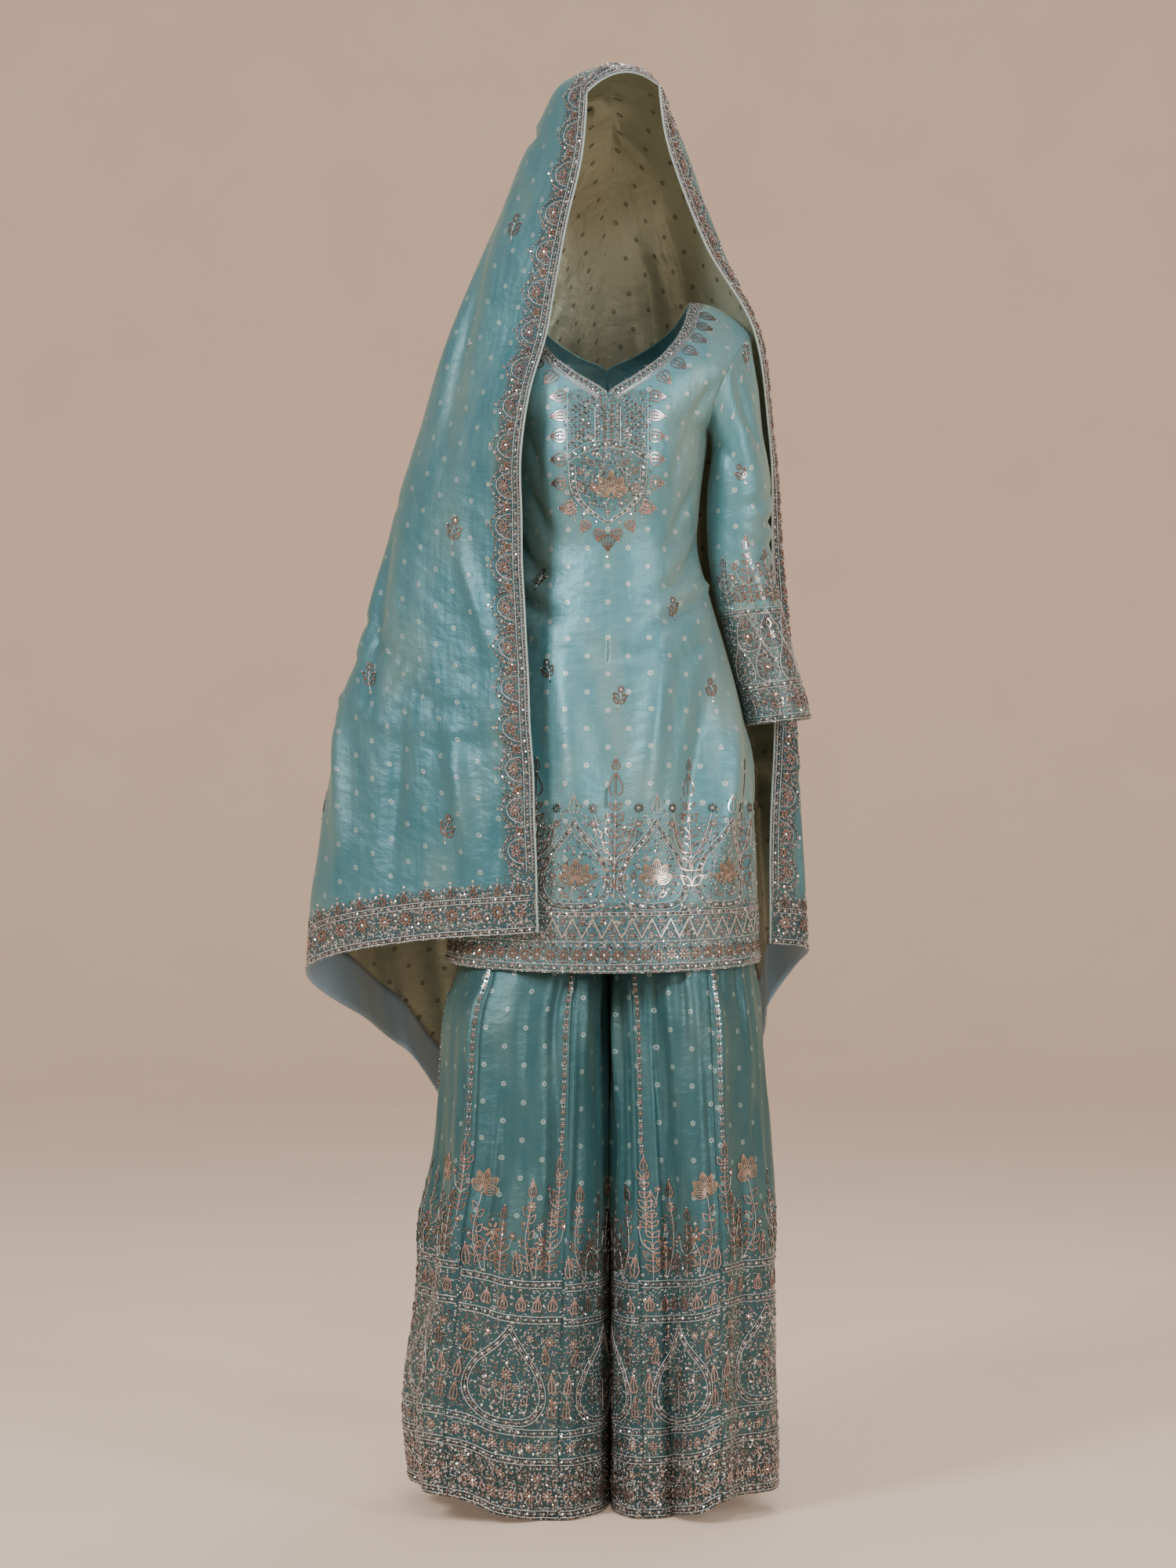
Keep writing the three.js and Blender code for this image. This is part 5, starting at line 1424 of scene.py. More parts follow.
def face_chart(x, y):
    """Along the rim over the face, whose rings shorten towards the crown."""
    inwards, lengths = face_cap["a"][RIM_COLUMNS // 2] - OVER_FACE, face_cap["b"][0]
    order = np.argsort(inwards)
    shorter = np.interp(y * MM, inwards[order], lengths[order]) / lengths[-1]
    return OVER_FACE + y * MM, x * MM * shorter


veil_frame = frames["dupatta"]
left_height, right_height = left_hanging["b"][0, 0] / MM, right_hanging["b"][-1, 0] / MM
rim = face_cap["b"][0, -1] / MM
veil_frame.work(long_border(SHORT_END + 3, left_height + 22), lambda x, y: (y * MM, x * MM))
veil_frame.work(long_border(SHORT_END + 3, right_height + 22), lambda x, y: (RIGHT_HALF + y * MM, x * MM))
veil_frame.work(long_border(2, rim - 2), face_chart)
columns = left_hanging["u"][:, 0], right_hanging["u"][:, 0]
LAST = left_hanging["v"].shape[1] - 1
short_ends = {}
ends = {"left": (left_hanging, np.flatnonzero(columns[0] <= LEFT_CORNER + 1e-9)),
        "right": (right_hanging, np.flatnonzero(columns[1] >= RIGHT_CORNER - 1e-9)[::-1])}
for side, (grid, along_hem) in ends.items():
    chart, length = beside_edge([(grid, along_hem, LAST, (0, -1))])
    veil_frame.work(short_border(length), chart)
    short_ends[side] = round(length) / 1000
    print(side, "short end of the veil:", short_ends[side], "m")
back_left = np.flatnonzero(columns[0] >= LEFT_CORNER - 1e-9)
back_right = np.flatnonzero(columns[1] <= RIGHT_CORNER + 1e-9)
for grid, along_back in ((left_hanging, back_left), (right_hanging, back_right[::-1])):
    chart, length = beside_edge([(grid, along_back, LAST, (0, -1))])
    veil_frame.work(long_border(SHORT_END + 4, length - 3), chart)
    print("half the back edge of the veil:", round(length), "mm")

veil_sprigs = [
    (82, 845, -8), (100, 462, 6), (228, 262, -10), (122, 100, 14), (322, 92, -8), (250, 560, 8),
    (380, 420, -6), (330, 700, 10), (470, 640, -12), (480, 300, 8), (200, 780, -14), (600, 520, 6),
    (590, 820, -8), (420, 900, 4)]
sprinkle("dupatta", 34,
         [(start + x, y, turn) for x, y, turn in veil_sprigs for start in (0, RIGHT_HALF / MM)])

# %% [markdown]
# Finishes. Small helpers place a node and fill its sockets, for shader and geometry trees alike. Shared
# effects are node groups: the woven spots of the ground, and the silk's own streaks and crumple.

# %% Helpers for node trees
def put(tree, kind, *values, **settings):
    """A node with its settings; values are (socket, value or another node's output)."""
    made = tree.nodes.new(kind)
    for name, setting in settings.items():
        setattr(made, name, setting)
    for socket, value in values:
        if isinstance(value, bpy.types.NodeSocket):
            tree.links.new(value, made.inputs[socket])
        else:
            made.inputs[socket].default_value = value
    return made


def maths(tree, operation, *values, clamp=False):
    made = put(tree, "ShaderNodeMath", *enumerate(values), operation=operation, use_clamp=clamp)
    return made.outputs[0]


def group(name, kind, inputs, outputs):
    """An empty node group with named sockets, and its input and output nodes."""
    tree = bpy.data.node_groups.new(name, kind)
    for direction, sockets in (("INPUT", inputs), ("OUTPUT", outputs)):
        for label, socket, *start in sockets:
            made = tree.interface.new_socket(label, in_out=direction, socket_type="NodeSocket" + socket)
            if start:
                made.default_value = start[0]
    return tree, tree.nodes.new("NodeGroupInput").outputs, tree.nodes.new("NodeGroupOutput").inputs


# %% [markdown]
# Woven spots are small eight-petalled flowers in a half-drop repeat. Two grids of cells, one shifted by
# half a cell, each measure how far a place is from its cell's middle; the nearer one wins.

# %% Woven spots
def woven_spots():
    tree, given, result = group(
        "woven_spots", "ShaderNodeTree",
        [("Place", "Vector"), ("Across", "Float", 0.050), ("Up", "Float", 0.045),
         ("Radius", "Float", 0.0041)],
        [("Spot", "Float")])
    place = put(tree, "ShaderNodeSeparateXYZ", (0, given["Place"])).outputs
    masks = []
    for shift in (0.0, 0.5):
        offsets = []
        for axis, size in ((0, given["Across"]), (1, given["Up"])):
            cell = maths(tree, "ADD", maths(tree, "DIVIDE", place[axis], size), shift)
            centred = maths(tree, "SUBTRACT", maths(tree, "FRACT", cell), 0.5)
            offsets.append(maths(tree, "MULTIPLY", centred, size))
        away = maths(tree, "SQRT", maths(tree, "ADD", *(maths(tree, "MULTIPLY", o, o) for o in offsets)))
        turn = maths(tree, "MULTIPLY", maths(tree, "ARCTAN2", offsets[1], offsets[0]), 8.0)
        petals = maths(tree, "ADD", maths(tree, "MULTIPLY", maths(tree, "COSINE", turn), 0.16), 0.82)
        ratio = maths(tree, "DIVIDE", away, maths(tree, "MULTIPLY", given["Radius"], petals))
        ring = maths(tree, "MULTIPLY", maths(tree, "SUBTRACT", 1.0, ratio), 5.0, clamp=True)
        eye = maths(tree, "MULTIPLY", maths(tree, "SUBTRACT", ratio, 0.2), 6.0, clamp=True)
        masks.append(maths(tree, "MULTIPLY", ring, eye))
    tree.links.new(maths(tree, "MAXIMUM", *masks), result["Spot"])
    return tree


# %% [markdown]
# Tissue silk has a silk warp and a metal weft. Seen close it is full of fine streaks both ways, and at
# arm's length it has a soft crumple, because the metal keeps every dent. The group puts out both, with
# a slow up-and-down cloudiness: partly uneven weft, partly a painted gold-green sheen.

# %% Tissue weave
def tissue_weave():
    tree, given, result = group(
        "tissue_weave", "ShaderNodeTree", [("Place", "Vector"), ("Streaks", "Float", 1.0)],
        [("Streak", "Float"), ("Cloud", "Float"), ("Relief", "Float")])

    def noise(stretch, scale, detail):
        stretched = put(tree, "ShaderNodeVectorMath", (0, given["Place"]), (1, stretch), operation="MULTIPLY")
        made = put(tree, "ShaderNodeTexNoise", ("Vector", stretched.outputs[0]), ("Scale", scale),
                   ("Detail", detail))
        return made.outputs["Fac"]

    warp, weft = noise((1, 0.03, 1), 900, 1.0), noise((0.04, 1, 1), 1100, 1.0)
    slubs, weft_and_sheen_cloud = noise((1, 0.3, 1), 70, 2.0), noise((1, 0.4, 1), 12, 2.0)
    crumple, pleats = noise((0.6, 1, 1), 100, 4.0), noise((1, 0.14, 1), 55, 2.0)
    dents = noise((0.7, 1, 1), 34, 5.0)
    streak = maths(tree, "MULTIPLY_ADD", warp, 0.45, maths(tree, "MULTIPLY", weft, 0.55))
    streak = maths(tree, "MULTIPLY_ADD", slubs, 0.5, maths(tree, "MULTIPLY", streak, 0.5))
    pleats = maths(tree, "MULTIPLY", maths(tree, "MULTIPLY", pleats, given["Streaks"]), 0.7)
    relief = maths(tree, "MULTIPLY_ADD", crumple, 0.4, pleats)
    relief = maths(tree, "MULTIPLY_ADD", dents, 1.5, relief)
    fine = maths(tree, "MULTIPLY_ADD", weft, 0.05, maths(tree, "MULTIPLY", warp, 0.05))
    tree.links.new(streak, result["Streak"])
    tree.links.new(weft_and_sheen_cloud, result["Cloud"])
    tree.links.new(maths(tree, "ADD", relief, fine), result["Relief"])
    return tree


# %% [markdown]
# Between the sewn motifs the borders are filled with beads too small and close to be made one by one.
# This group scatters them as round bumps. Fine cells are the beads; coarse cells gather them into small
# flowers and outlines. Density is how much of the ground they cover.

# %% Fine beads
def fine_beads():
    tree, given, result = group(
        "fine_beads", "ShaderNodeTree", [("Place", "Vector"), ("Density", "Float", 0.5)],
        [("Bead", "Float"), ("Tone", "Float"), ("Height", "Float")])

    def cells(scale, randomness, feature="F1"):
        return put(tree, "ShaderNodeTexVoronoi", ("Vector", given["Place"]), ("Scale", scale),
                   ("Randomness", randomness), voronoi_dimensions="2D", feature=feature)

    fine, coarse, edges = cells(360.0, 0.7), cells(72.0, 0.8), cells(72.0, 0.8, "DISTANCE_TO_EDGE")
    flower = maths(tree, "LESS_THAN", coarse.outputs["Distance"], 0.27)
    outline = maths(tree, "LESS_THAN", edges.outputs["Distance"], 0.10)
    gathered = maths(tree, "MULTIPLY_ADD", maths(tree, "MAXIMUM", flower, outline), 0.95, 0.22)
    chance = put(tree, "ShaderNodeSeparateColor", (0, fine.outputs["Color"])).outputs
    there = maths(tree, "LESS_THAN", chance[0], maths(tree, "MULTIPLY", gathered, given["Density"]))
    dome = maths(tree, "SUBTRACT", 1.0, maths(tree, "DIVIDE", fine.outputs["Distance"], 0.46), clamp=True)
    dome = maths(tree, "SQRT", dome)
    tree.links.new(maths(tree, "MULTIPLY", there, maths(tree, "GREATER_THAN", dome, 0.05)), result["Bead"])
    tree.links.new(maths(tree, "POWER", chance[1], 1.4), result["Tone"])
    tree.links.new(maths(tree, "MULTIPLY", there, dome), result["Height"])
    return tree


WOVEN_SPOTS, TISSUE_WEAVE, FINE_BEADS = woven_spots(), tissue_weave(), fine_beads()
print("node groups:", [tree.name for tree in (WOVEN_SPOTS, TISSUE_WEAVE, FINE_BEADS)])

# %% [markdown]
# The silk itself. Its base colour runs from silk to weft with the streaks. The clouds, partly uneven weft
# and partly painted gold sheen, and the angle it is seen from, a painted sheen, turn it further to the weft.
# The woven spots lie on that, and then the ground is darkened under fine beads, a painted shade between
# them. Bump, roughness and metal follow the same masks.

# %% Tissue silk
TONES = [(0.0, (0.80, 0.82, 0.83)), (0.2, (0.60, 0.60, 0.60)), (0.32, (0.45, 0.31, 0.30)),
         (0.52, (0.36, 0.255, 0.215)), (0.72, (0.11, 0.11, 0.125)), (0.92, (0.52, 0.42, 0.345))]


def tone_colours(tree, tone):
    ramp = put(tree, "ShaderNodeValToRGB", (0, tone))
    stops = ramp.color_ramp.elements
    while len(stops) < len(TONES):
        stops.new(0.5)
    for stop, (at, colour) in zip(stops, TONES):
        stop.position, stop.color = at, colour + (1,)
    return ramp.outputs[0]


def finish(name):
    material = bpy.data.materials.new(name)
    material.use_nodes = True
    return material, material.node_tree, material.node_tree.nodes["Principled BSDF"].inputs


def blend(tree, share, first, second):
    made = tree.nodes.new("ShaderNodeMix")
    made.data_type = "RGBA"
    tree.links.new(share, made.inputs[0])
    for socket, value in zip((made.inputs[6], made.inputs[7]), (first, second)):
        if isinstance(value, bpy.types.NodeSocket):
            tree.links.new(value, socket)
        else:
            socket.default_value = value + (1,)
    return made.outputs[2]


def tissue(name, silk, weft_and_sheen, spot, crumple=0.0022):
    """Tissue silk: the silk's colour; the weft's colour in streaks, in clouds that are partly painted sheen,
    and at grazing angles as painted sheen; woven metal spots.
    """
    material, tree, surface = finish(name)
    place = put(tree, "ShaderNodeUVMap", uv_map="cloth").outputs[0]
    weave = put(tree, "ShaderNodeGroup", node_tree=TISSUE_WEAVE)
    spots = put(tree, "ShaderNodeGroup", node_tree=WOVEN_SPOTS)
    for node in (weave, spots):
        tree.links.new(place, node.inputs["Place"])
    woven = put(tree, "ShaderNodeAttribute", attribute_name="woven").outputs["Fac"]
    spot_share = maths(tree, "MULTIPLY", spots.outputs["Spot"], woven)
    # The clouds turn the colour to the weft's gold-green: partly uneven weft, partly painted sheen.
    weft_and_sheen_cloud = put(tree, "ShaderNodeMapRange", ("Value", weave.outputs["Cloud"]), ("From Min", 0.46),
                ("From Max", 0.70), ("To Max", 0.4)).outputs[0]
    streaks = maths(tree, "SUBTRACT", maths(tree, "MULTIPLY", weave.outputs["Streak"], 0.7), 0.2)
    # Painted sheen: the colour turns to the weft's gold at grazing angles, where the silk's sheen would show.
    turned = put(tree, "ShaderNodeLayerWeight", ("Blend", 0.35)).outputs["Facing"]
    painted_grazing_sheen = maths(tree, "MULTIPLY", maths(tree, "POWER", turned, 1.5), 0.85)
    share = maths(tree, "ADD", maths(tree, "ADD", streaks, weft_and_sheen_cloud), painted_grazing_sheen, clamp=True)
    ground = blend(tree, share, silk, weft_and_sheen)
    ground = blend(tree, spot_share, ground, spot)
    # Painted shade: the ground is darkened where fine beads cover it, as shade between the beads.
    dark = put(tree, "ShaderNodeVectorMath", (0, ground), ("Scale", 0.42), operation="SCALE").outputs[0]
    worked = put(tree, "ShaderNodeAttribute", attribute_name="worked").outputs["Fac"]
    beads = put(tree, "ShaderNodeGroup", node_tree=FINE_BEADS)
    tree.links.new(place, beads.inputs["Place"])
    tree.links.new(worked, beads.inputs["Density"])
    bead = beads.outputs["Bead"]
    # The painted shade between fine beads, laid on by the worked mask.
    ground = blend(tree, worked, ground, dark)
    beaded = blend(tree, bead, ground, tone_colours(tree, beads.outputs["Tone"]))
    tree.links.new(beaded, surface["Base Color"])
    metal = maths(tree, "MULTIPLY_ADD", spot_share, 0.3, 0.35)
    tree.links.new(maths(tree, "MAXIMUM", metal, maths(tree, "MULTIPLY", bead, 0.8)), surface["Metallic"])
    rough = maths(tree, "MULTIPLY_ADD", weave.outputs["Streak"], 0.22, 0.33)
    tree.links.new(maths(tree, "MULTIPLY_ADD", bead, -0.12, rough), surface["Roughness"])
    height = maths(tree, "MULTIPLY_ADD", spot_share, 0.12, weave.outputs["Relief"])
    height = maths(tree, "MULTIPLY_ADD", beads.outputs["Height"], 1.2, height)
    bump = put(tree, "ShaderNodeBump", ("Strength", 0.75), ("Distance", crumple), ("Height", height))
    tree.links.new(bump.outputs[0], surface["Normal"])
    surface["Sheen Weight"].default_value = 0.2
    surface["Sheen Roughness"].default_value = 0.35
    surface["Sheen Tint"].default_value = weft_and_sheen + (1,)
    surface["Specular Tint"].default_value = (1.0, 0.93, 0.72, 1)
    return material


# %% [markdown]
# Satin is smooth and blue, with a fine rib across. Beads, sequins and thread are metal or glass. Their
# colour comes from each stitch's own tone, through a ramp from silver by rose and copper to pewter and gold.

# %% Satin, beads and thread
def satin(name, colour):
    material, tree, surface = finish(name)
    place = put(tree, "ShaderNodeUVMap", uv_map="cloth").outputs[0]
    weave = put(tree, "ShaderNodeGroup", node_tree=TISSUE_WEAVE)
    tree.links.new(place, weave.inputs["Place"])
    dark = tuple(c * 0.8 for c in colour)
    tree.links.new(blend(tree, weave.outputs["Streak"], dark, colour), surface["Base Color"])
    tree.links.new(maths(tree, "MULTIPLY_ADD", weave.outputs["Streak"], 0.2, 0.28), surface["Roughness"])
    bump = put(tree, "ShaderNodeBump", ("Strength", 0.6), ("Distance", 0.0009),
               ("Height", weave.outputs["Relief"]))
    tree.links.new(bump.outputs[0], surface["Normal"])
    surface["Sheen Weight"].default_value = 0.3
    return material


def toned(name, metallic, roughness, coat=0.0):
    material, tree, surface = finish(name)
    tone = put(tree, "ShaderNodeAttribute", attribute_name="tone").outputs["Fac"]
    tree.links.new(tone_colours(tree, tone), surface["Base Color"])
    place = put(tree, "ShaderNodeTexCoord").outputs["Object"]
    grain = put(tree, "ShaderNodeTexNoise", ("Vector", place), ("Scale", 700.0)).outputs["Fac"]
    tree.links.new(maths(tree, "MULTIPLY_ADD", grain, 0.2, roughness - 0.1), surface["Roughness"])
    surface["Metallic"].default_value = metallic
    surface["Coat Weight"].default_value = coat
    return material


# The trouser silk and weft are darker copies of the kurta's: painted shade, standing for the shade the kurta
# casts over the trousers.
SILK, SILK_SHADED, VEIL_SILK = (0.062, 0.262, 0.330), (0.018, 0.100, 0.128), (0.026, 0.150, 0.202)
# The weft colours are the weft's own tone and also the painted gold sheen.
WEFT_AND_SHEEN, WEFT_AND_SHEEN_SHADED, VEIL_WEFT_AND_SHEEN = (0.31, 0.42, 0.37), (0.10, 0.19, 0.18), (0.16, 0.28, 0.265)
WOVEN_SILVER, SOFT_SILVER, SPOT_BACK = (0.52, 0.60, 0.58), (0.27, 0.38, 0.38), (0.16, 0.17, 0.13)
OLIVE, OLIVE_GOLD = (0.34, 0.38, 0.28), (0.52, 0.54, 0.42)
DUSTY_BLUE, SEA_GREEN = (0.32, 0.47, 0.59), (0.36, 0.48, 0.46)
FINISHES = {
    "kurta_cloth": tissue("kurta_tissue_silk", SILK, WEFT_AND_SHEEN, WOVEN_SILVER),
    # The trousers take the darker copies: painted shade.
    "trouser_cloth": tissue("trouser_tissue_silk", SILK_SHADED, WEFT_AND_SHEEN_SHADED, SOFT_SILVER, 0.0024),
    "veil_cloth": tissue("veil_tissue_silk", VEIL_SILK, VEIL_WEFT_AND_SHEEN, SOFT_SILVER, 0.0026),
    "veil_inside": tissue("veil_inner_face", OLIVE, OLIVE_GOLD, SPOT_BACK, 0.0024),
    "satin_facing": satin("dusty_blue_satin", DUSTY_BLUE),
    "metal_thread": satin("piping_silk", SEA_GREEN),
    "bead": toned("glass_beads", 0.75, 0.2, 0.6),
    "cut": toned("cut_beads", 0.85, 0.22, 0.3),
    "sequin": toned("sequins", 1.0, 0.16),
    "thread": toned("silver_thread", 0.6, 0.4)}
print("finishes:", len(FINISHES))

# %% [markdown]
# One Geometry Nodes tree does all the sewing. It gets the flat stitches as points and the flat threads as
# edges. Each point looks up its place on the cloth through the UV map "cloth", and so lands where the
# needle would. Beads, cut beads and sequins are then set on the points, standing square to the cloth and
# turned along their line, and the edges become thin cords. Sequins tilt a little, each its own way.

# %% The sewing tree
def sewing_tree():
    tree, given, result = group(
        "sewing", "GeometryNodeTree",
        [("Work", "Geometry"), ("Cloth", "Object"), ("Thread radius", "Float", 0.0005),
         ("Lift", "Float", 0.0006), ("Sequin tilt", "Float", 0.4), ("Seed", "Int", 5),
         ("Bead finish", "Material"), ("Cut finish", "Material"), ("Sequin finish", "Material"),
         ("Thread finish", "Material")],
        [("Sewn", "Geometry")])

    def named(name, kind):
        return put(tree, "GeometryNodeInputNamedAttribute", ("Name", name), data_type=kind).outputs[0]

    cloth = put(tree, "GeometryNodeObjectInfo", ("Object", given["Cloth"])).outputs["Geometry"]
    flat = named("cloth", "FLOAT_VECTOR")
    place, normal = (put(tree, "GeometryNodeInput" + kind).outputs[0] for kind in ("Position", "Normal"))

    def on_cloth(value, at):
        return put(tree, "GeometryNodeSampleUVSurface", ("Mesh", cloth), ("Value", value), (2, flat),
                   ("Sample UV", at), data_type="FLOAT_VECTOR").outputs

    here = on_cloth(place, place)
    out = on_cloth(normal, place)[0]
    ahead = on_cloth(place, named("ahead", "FLOAT_VECTOR"))[0]
    along = put(tree, "ShaderNodeVectorMath", (0, ahead), (1, here[0]), operation="SUBTRACT").outputs[0]
    kept = put(tree, "GeometryNodeCaptureAttribute")
    for label in ("out", "along", "missed"):
        kept.capture_items.new("BOOLEAN" if label == "missed" else "VECTOR", label)
    missed = put(tree, "FunctionNodeBooleanMath", (0, here[1]), operation="NOT").outputs[0]
    for socket, value in zip(kept.inputs, (given["Work"], out, along, missed)):
        tree.links.new(value, socket)
    work, out, along, missed = kept.outputs[0], kept.outputs[1], kept.outputs[2], kept.outputs[3]
    lift = put(tree, "ShaderNodeVectorMath", (0, out), ("Scale", given["Lift"]), operation="SCALE").outputs[0]
    laid = put(tree, "GeometryNodeSetPosition", ("Geometry", work), ("Position", here[0]), ("Offset", lift))
    laid = put(tree, "GeometryNodeDeleteGeometry", (0, laid.outputs[0]), (1, missed)).outputs[0]

    def of_kind(number):
        return put(tree, "FunctionNodeCompare", (2, named("kind", "INT")), (3, number), data_type="INT",
                   operation="EQUAL").outputs[0]

    tilt = put(tree, "FunctionNodeRandomValue", (0, (-1.0, -1.0, -1.0)), (1, (1.0, 1.0, 1.0)),
               ("Seed", given["Seed"]), data_type="FLOAT_VECTOR").outputs[0]
    tilt = put(tree, "ShaderNodeVectorMath", (0, tilt), ("Scale", given["Sequin tilt"]), operation="SCALE")
    tilted = put(tree, "ShaderNodeVectorMath", (0, out), (1, tilt.outputs[0]), operation="ADD").outputs[0]
    bead = put(tree, "GeometryNodeMeshUVSphere", ("Segments", 4), ("Rings", 2), ("Radius", 0.54)).outputs[0]
    cut = put(tree, "GeometryNodeMeshCylinder", ("Vertices", 3), ("Radius", 0.30), ("Depth", 0.94)).outputs[0]
    cut = put(tree, "GeometryNodeTransform", (0, cut), ("Rotation", (0, math.pi / 2, 0))).outputs[0]
    sequin = put(tree, "GeometryNodeMeshCone", ("Vertices", 6), ("Radius Bottom", 0.5),
                 ("Depth", 0.14)).outputs[0]
    join = put(tree, "GeometryNodeJoinGeometry")
    for kind, shape, up, label in ((BEAD, bead, out, "Bead"), (CUT, cut, out, "Cut"),
                                   (SEQUIN, sequin, tilted, "Sequin")):
        turn = put(tree, "FunctionNodeAxesToRotation", (0, up), (1, along),
                   primary_axis="Z", secondary_axis="X")
        set_on = put(tree, "GeometryNodeInstanceOnPoints", ("Points", laid), ("Selection", of_kind(kind)),
                     ("Instance", shape), ("Rotation", turn.outputs[0]), ("Scale", named("size", "FLOAT")))
        real = put(tree, "GeometryNodeRealizeInstances", (0, set_on.outputs[0])).outputs[0]
        smooth_faces = put(tree, "GeometryNodeSetShadeSmooth", (0, real), ("Shade Smooth", kind == BEAD))
        painted = put(tree, "GeometryNodeSetMaterial", (0, smooth_faces.outputs[0]),
                      ("Material", given[label + " finish"]))
        tree.links.new(painted.outputs[0], join.inputs[0])
    lines = put(tree, "GeometryNodeSeparateGeometry", (0, laid), (1, of_kind(THREAD))).outputs[0]
    lines = put(tree, "GeometryNodeMeshToCurve", (0, lines)).outputs[0]
    ring = put(tree, "GeometryNodeCurvePrimitiveCircle", ("Resolution", 3),
               ("Radius", given["Thread radius"])).outputs[0]
    cords = put(tree, "GeometryNodeCurveToMesh", (0, lines), (1, ring), ("Fill Caps", True)).outputs[0]
    cords = put(tree, "GeometryNodeSetMaterial", (0, cords), ("Material", given["Thread finish"])).outputs[0]
    tree.links.new(cords, join.inputs[0])
    tree.links.new(join.outputs[0], result["Sewn"])
    return tree


SEWING = sewing_tree()
print("the sewing tree has", len(SEWING.nodes), "nodes")

# %% [markdown]
# The tree runs once on each cloth, before the cloth gets its thickness. Its result is turned into a plain
# mesh, so nothing is left to work out later.

# %% Sew every cloth
def sew(node, cloth, held):
    """The embroidery of one cloth as a plain mesh."""
    flat, ahead = np.concatenate(held.flat), np.concatenate(held.ahead)
    mesh = bpy.data.meshes.new(node + "_work")
    mesh.from_pydata(flat.tolist(), held.edges, [])
    for label, kind, key, values in (("ahead", "FLOAT_VECTOR", "vector", ahead.ravel()),
                                     ("size", "FLOAT", "value", np.concatenate(held.size)),
                                     ("tone", "FLOAT", "value", np.clip(np.concatenate(held.tone), 0, 1)),
                                     ("kind", "INT", "value", np.concatenate(held.kind).astype(int))):
        mesh.attributes.new(label, kind, "POINT").data.foreach_set(key, values)
    made = placed(node + "_embroidery", mesh)
    sewing = made.modifiers.new("Sewing", "NODES")
    sewing.node_group = SEWING
    values = {"Cloth": cloth, "Seed": len(node)}
    values |= {kind.capitalize() + " finish": FINISHES[kind] for kind in ("bead", "cut", "sequin", "thread")}
    for item in SEWING.interface.items_tree:
        if item.in_out == "INPUT" and item.name in values:
            sewing[item.identifier] = values[item.name]
    ready = made.evaluated_get(bpy.context.evaluated_depsgraph_get())
    sewn = bpy.data.meshes.new_from_object(ready)
    made.modifiers.clear()
    made.data = sewn
    for label in ("ahead", "size", "kind"):
        if label in sewn.attributes:
            sewn.attributes.remove(sewn.attributes[label])
    sewn.calc_loop_triangles()
    print(made.name, "stitches", len(flat), "triangles", len(sewn.loop_triangles))
    return made


embroideries = {node: sew(node, cloths[node], held) for node, held in frames.items() if held.flat}

# %% [markdown]
# Every sheet gets its thickness inwards, rides on the one body of the suit, and stands for its solid. Each
# prints the size it was cut to. The veil and its facings aren't rectangles on their flat map, so their
# length is the edge measured above, and their width follows from the area.

# %% Thickness, bodies and slots
SLOTS = {"kurta": "kurta_cloth", "sleeve": "kurta_cloth", "leg": "trouser_cloth", "trouser": "trouser_cloth",
         "dupatta": "veil_cloth"}
THICKNESS = 0.0007
LONG_SIDES = {"dupatta": edge_length} | {"dupatta_facing_" + side: size for side, size in short_ends.items()}


def cut_size(cloth):
    """Width and length of a cloth's flat measure, and its true area, in metres."""
    uv = np.zeros(len(cloth.data.loops) * 2)
    cloth.data.uv_layers["cloth"].data.foreach_get("uv", uv)
    width, length = np.ptp(uv.reshape(-1, 2), axis=0)
    return float(width), float(length), sum(face.area for face in cloth.data.polygons)


for node, cloth in cloths.items():
    facing = node.startswith("dupatta_facing")
    slot = "satin_facing" if facing else SLOTS[node.split("_")[0]]
    width, length, area = cut_size(cloth)
    if node in LONG_SIDES:
        width, length = area / LONG_SIDES[node], LONG_SIDES[node]
    cloth.data.materials.append(FINISHES[slot])
    wall = cloth.modifiers.new("Wall", "SOLIDIFY")
    wall.thickness, wall.offset = THICKNESS, -1
    if node == "dupatta":
        cloth.data.materials.append(FINISHES["veil_inside"])
        wall.material_offset = 1
    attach(cloth, "root")
    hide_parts(node)
    with_pieces = [embroideries[node]] if node in embroideries else []
    for piece in with_pieces:
        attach(piece, "root")
    print(f"{node}: cut {width:.3f} x {length:.3f} m, {area:.3f} m2")
piping.data.materials.append(FINISHES["metal_thread"])
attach(piping, "root")
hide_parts("dupatta_piping")

# %% [markdown]
# The studio. A pale round floor curves up into a wall on every side, so the suit can be seen from any
# angle. Four soft lights: a key on the left, a weaker fill on the right, one from above in front, and one
# behind that gives the veil its bright edge. The camera stands where the photograph's did.

# %% Floor, light and camera
FLOOR, FLAT_DISC, BEND_FROM, BEND, WALL_TOP, ROUND = -1.4705, 2.0, 6.0, 1.6, 5.2, 72
PALE, PALER = (0.74, 0.57, 0.44), (0.80, 0.62, 0.48)
LIGHTS = (("key", (-2.6, -2.8, 1.5), -0.5, (0.9, 1.4), 125), ("fill", (2.8, -3.0, 0.4), -0.6, (0.8, 1.6), 70),
          ("top", (0.2, -3.4, 2.8), -0.7, (1.2, 0.6), 45), ("back", (0.6, 2.0, 2.2), -0.3, (1.8, 1.2), 45))
CAMERA_PLACE, LENS, SENSOR = (-0.024, -4.5, -0.58), 83.07, 36
SKY, SKY_STRENGTH = (0.88, 0.93, 1.0, 1), 0.36


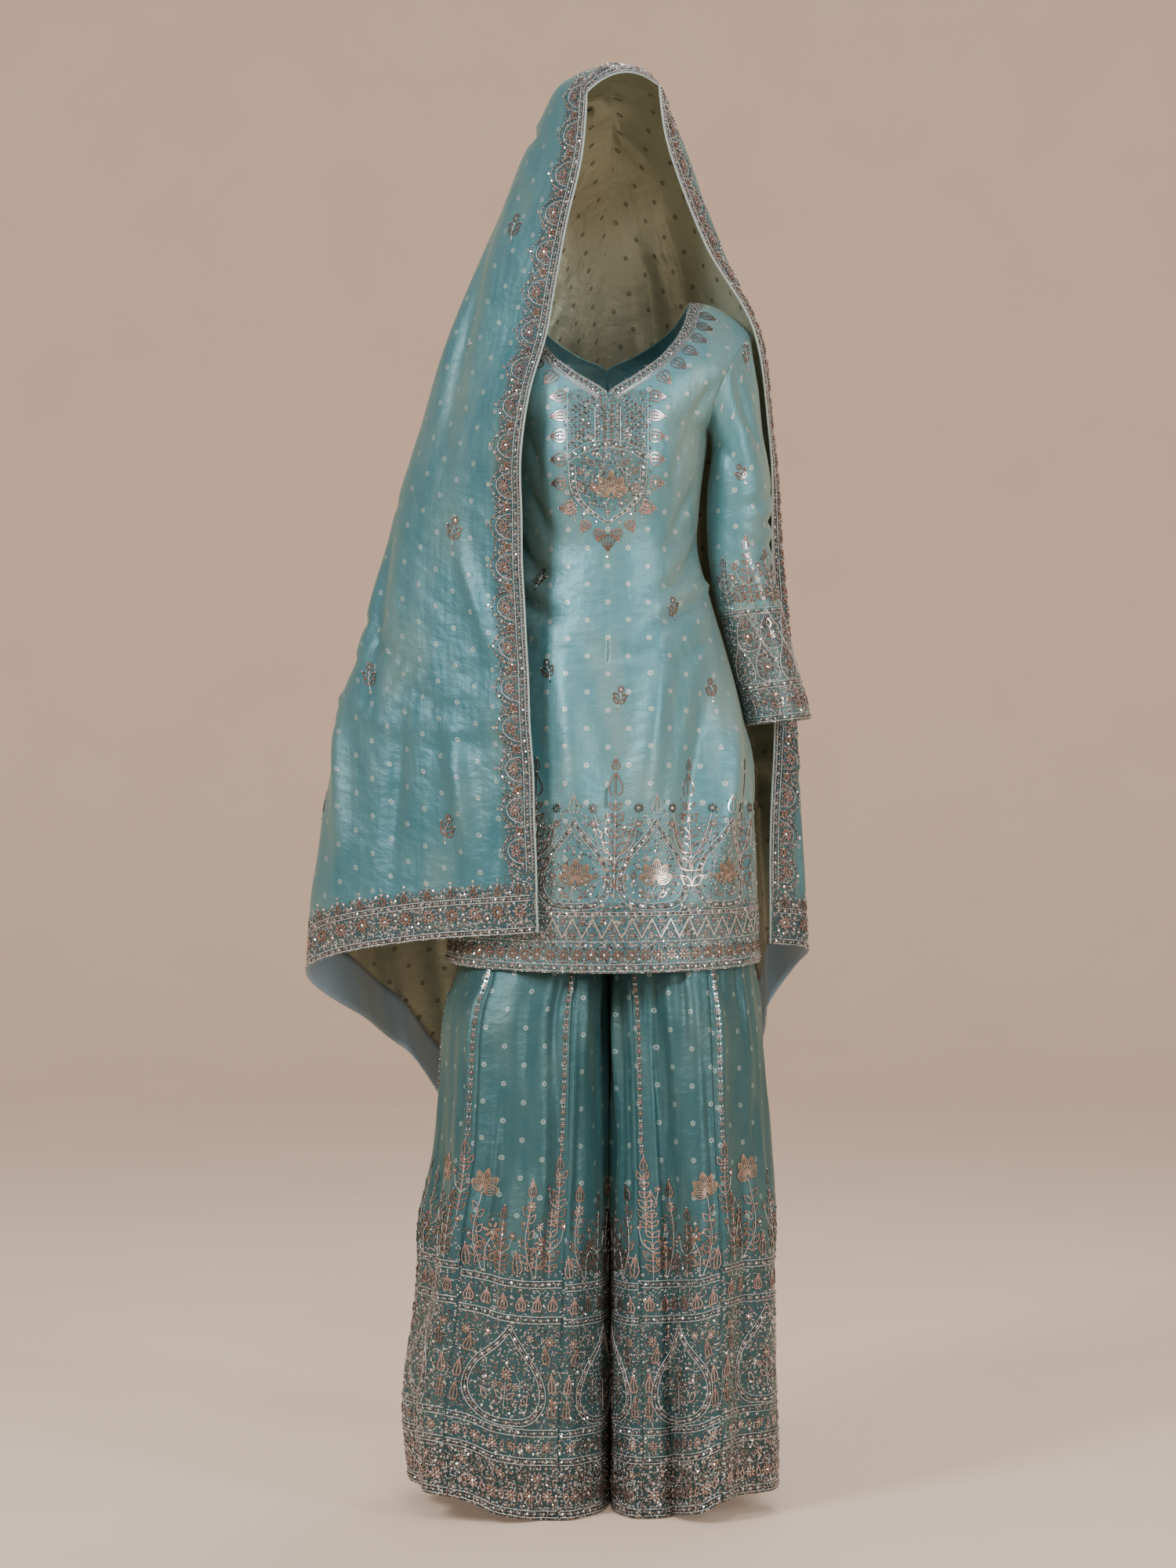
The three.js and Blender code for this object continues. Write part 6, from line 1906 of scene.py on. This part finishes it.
def stage_floor():
    """A round floor that curves up into a wall on every side, far enough out for any view."""
    bend = np.linspace(0, math.pi / 2, 9)
    profile = [(FLAT_DISC, 0.0)] + [(BEND_FROM + BEND * math.sin(t), BEND - BEND * math.cos(t)) for t in bend]
    profile.append((BEND_FROM + BEND, WALL_TOP))
    turns = np.arange(ROUND) * 2 * math.pi / ROUND
    points = [(r * math.cos(t), r * math.sin(t), z + FLOOR) for r, z in profile for t in turns]
    faces = [face[::-1] for face in ring_faces(len(profile), ROUND)] + [tuple(range(ROUND))]
    mesh = bpy.data.meshes.new("floor")
    mesh.from_pydata(points, [], faces)
    mesh.polygons.foreach_set("use_smooth", [True] * len(faces))
    material, tree, surface = finish("pale_floor")
    grain = put(tree, "ShaderNodeTexNoise", ("Vector", put(tree, "ShaderNodeTexCoord").outputs["Object"]),
                ("Scale", 3.0)).outputs["Fac"]
    pale = blend(tree, grain, PALE, PALER)
    tree.links.new(pale, surface["Base Color"])
    tree.links.new(pale, surface["Emission Color"])
    surface["Emission Strength"].default_value = 0.2
    surface["Roughness"].default_value = 0.85
    mesh.materials.append(material)
    return placed("floor", mesh)


def softbox(name, place, aim_height, size, power):
    """A rectangular light that looks at the suit's middle line."""
    data = bpy.data.lights.new(name, "AREA")
    data.shape, data.size, data.size_y, data.energy = "RECTANGLE", *size, power
    made = placed(name, data)
    made.location = place
    direction = mathutils.Vector((0, 0, aim_height)) - mathutils.Vector(place)
    made.rotation_euler = direction.to_track_quat("-Z", "Y").to_euler()


stage_floor()
for light in LIGHTS:
    softbox(*light)
world = bpy.data.worlds.new("studio")
world.use_nodes = True
sky = world.node_tree.nodes["Background"].inputs
sky["Color"].default_value, sky["Strength"].default_value = SKY, SKY_STRENGTH
bpy.context.scene.world = world
view = bpy.data.cameras.new("camera")
view.lens, view.sensor_width = LENS, SENSOR
camera = placed("camera", view)
camera.location, camera.rotation_euler = CAMERA_PLACE, (math.pi / 2, 0, 0)
bpy.context.scene.camera = camera
print("lights:", len(LIGHTS), "camera:", CAMERA_PLACE)
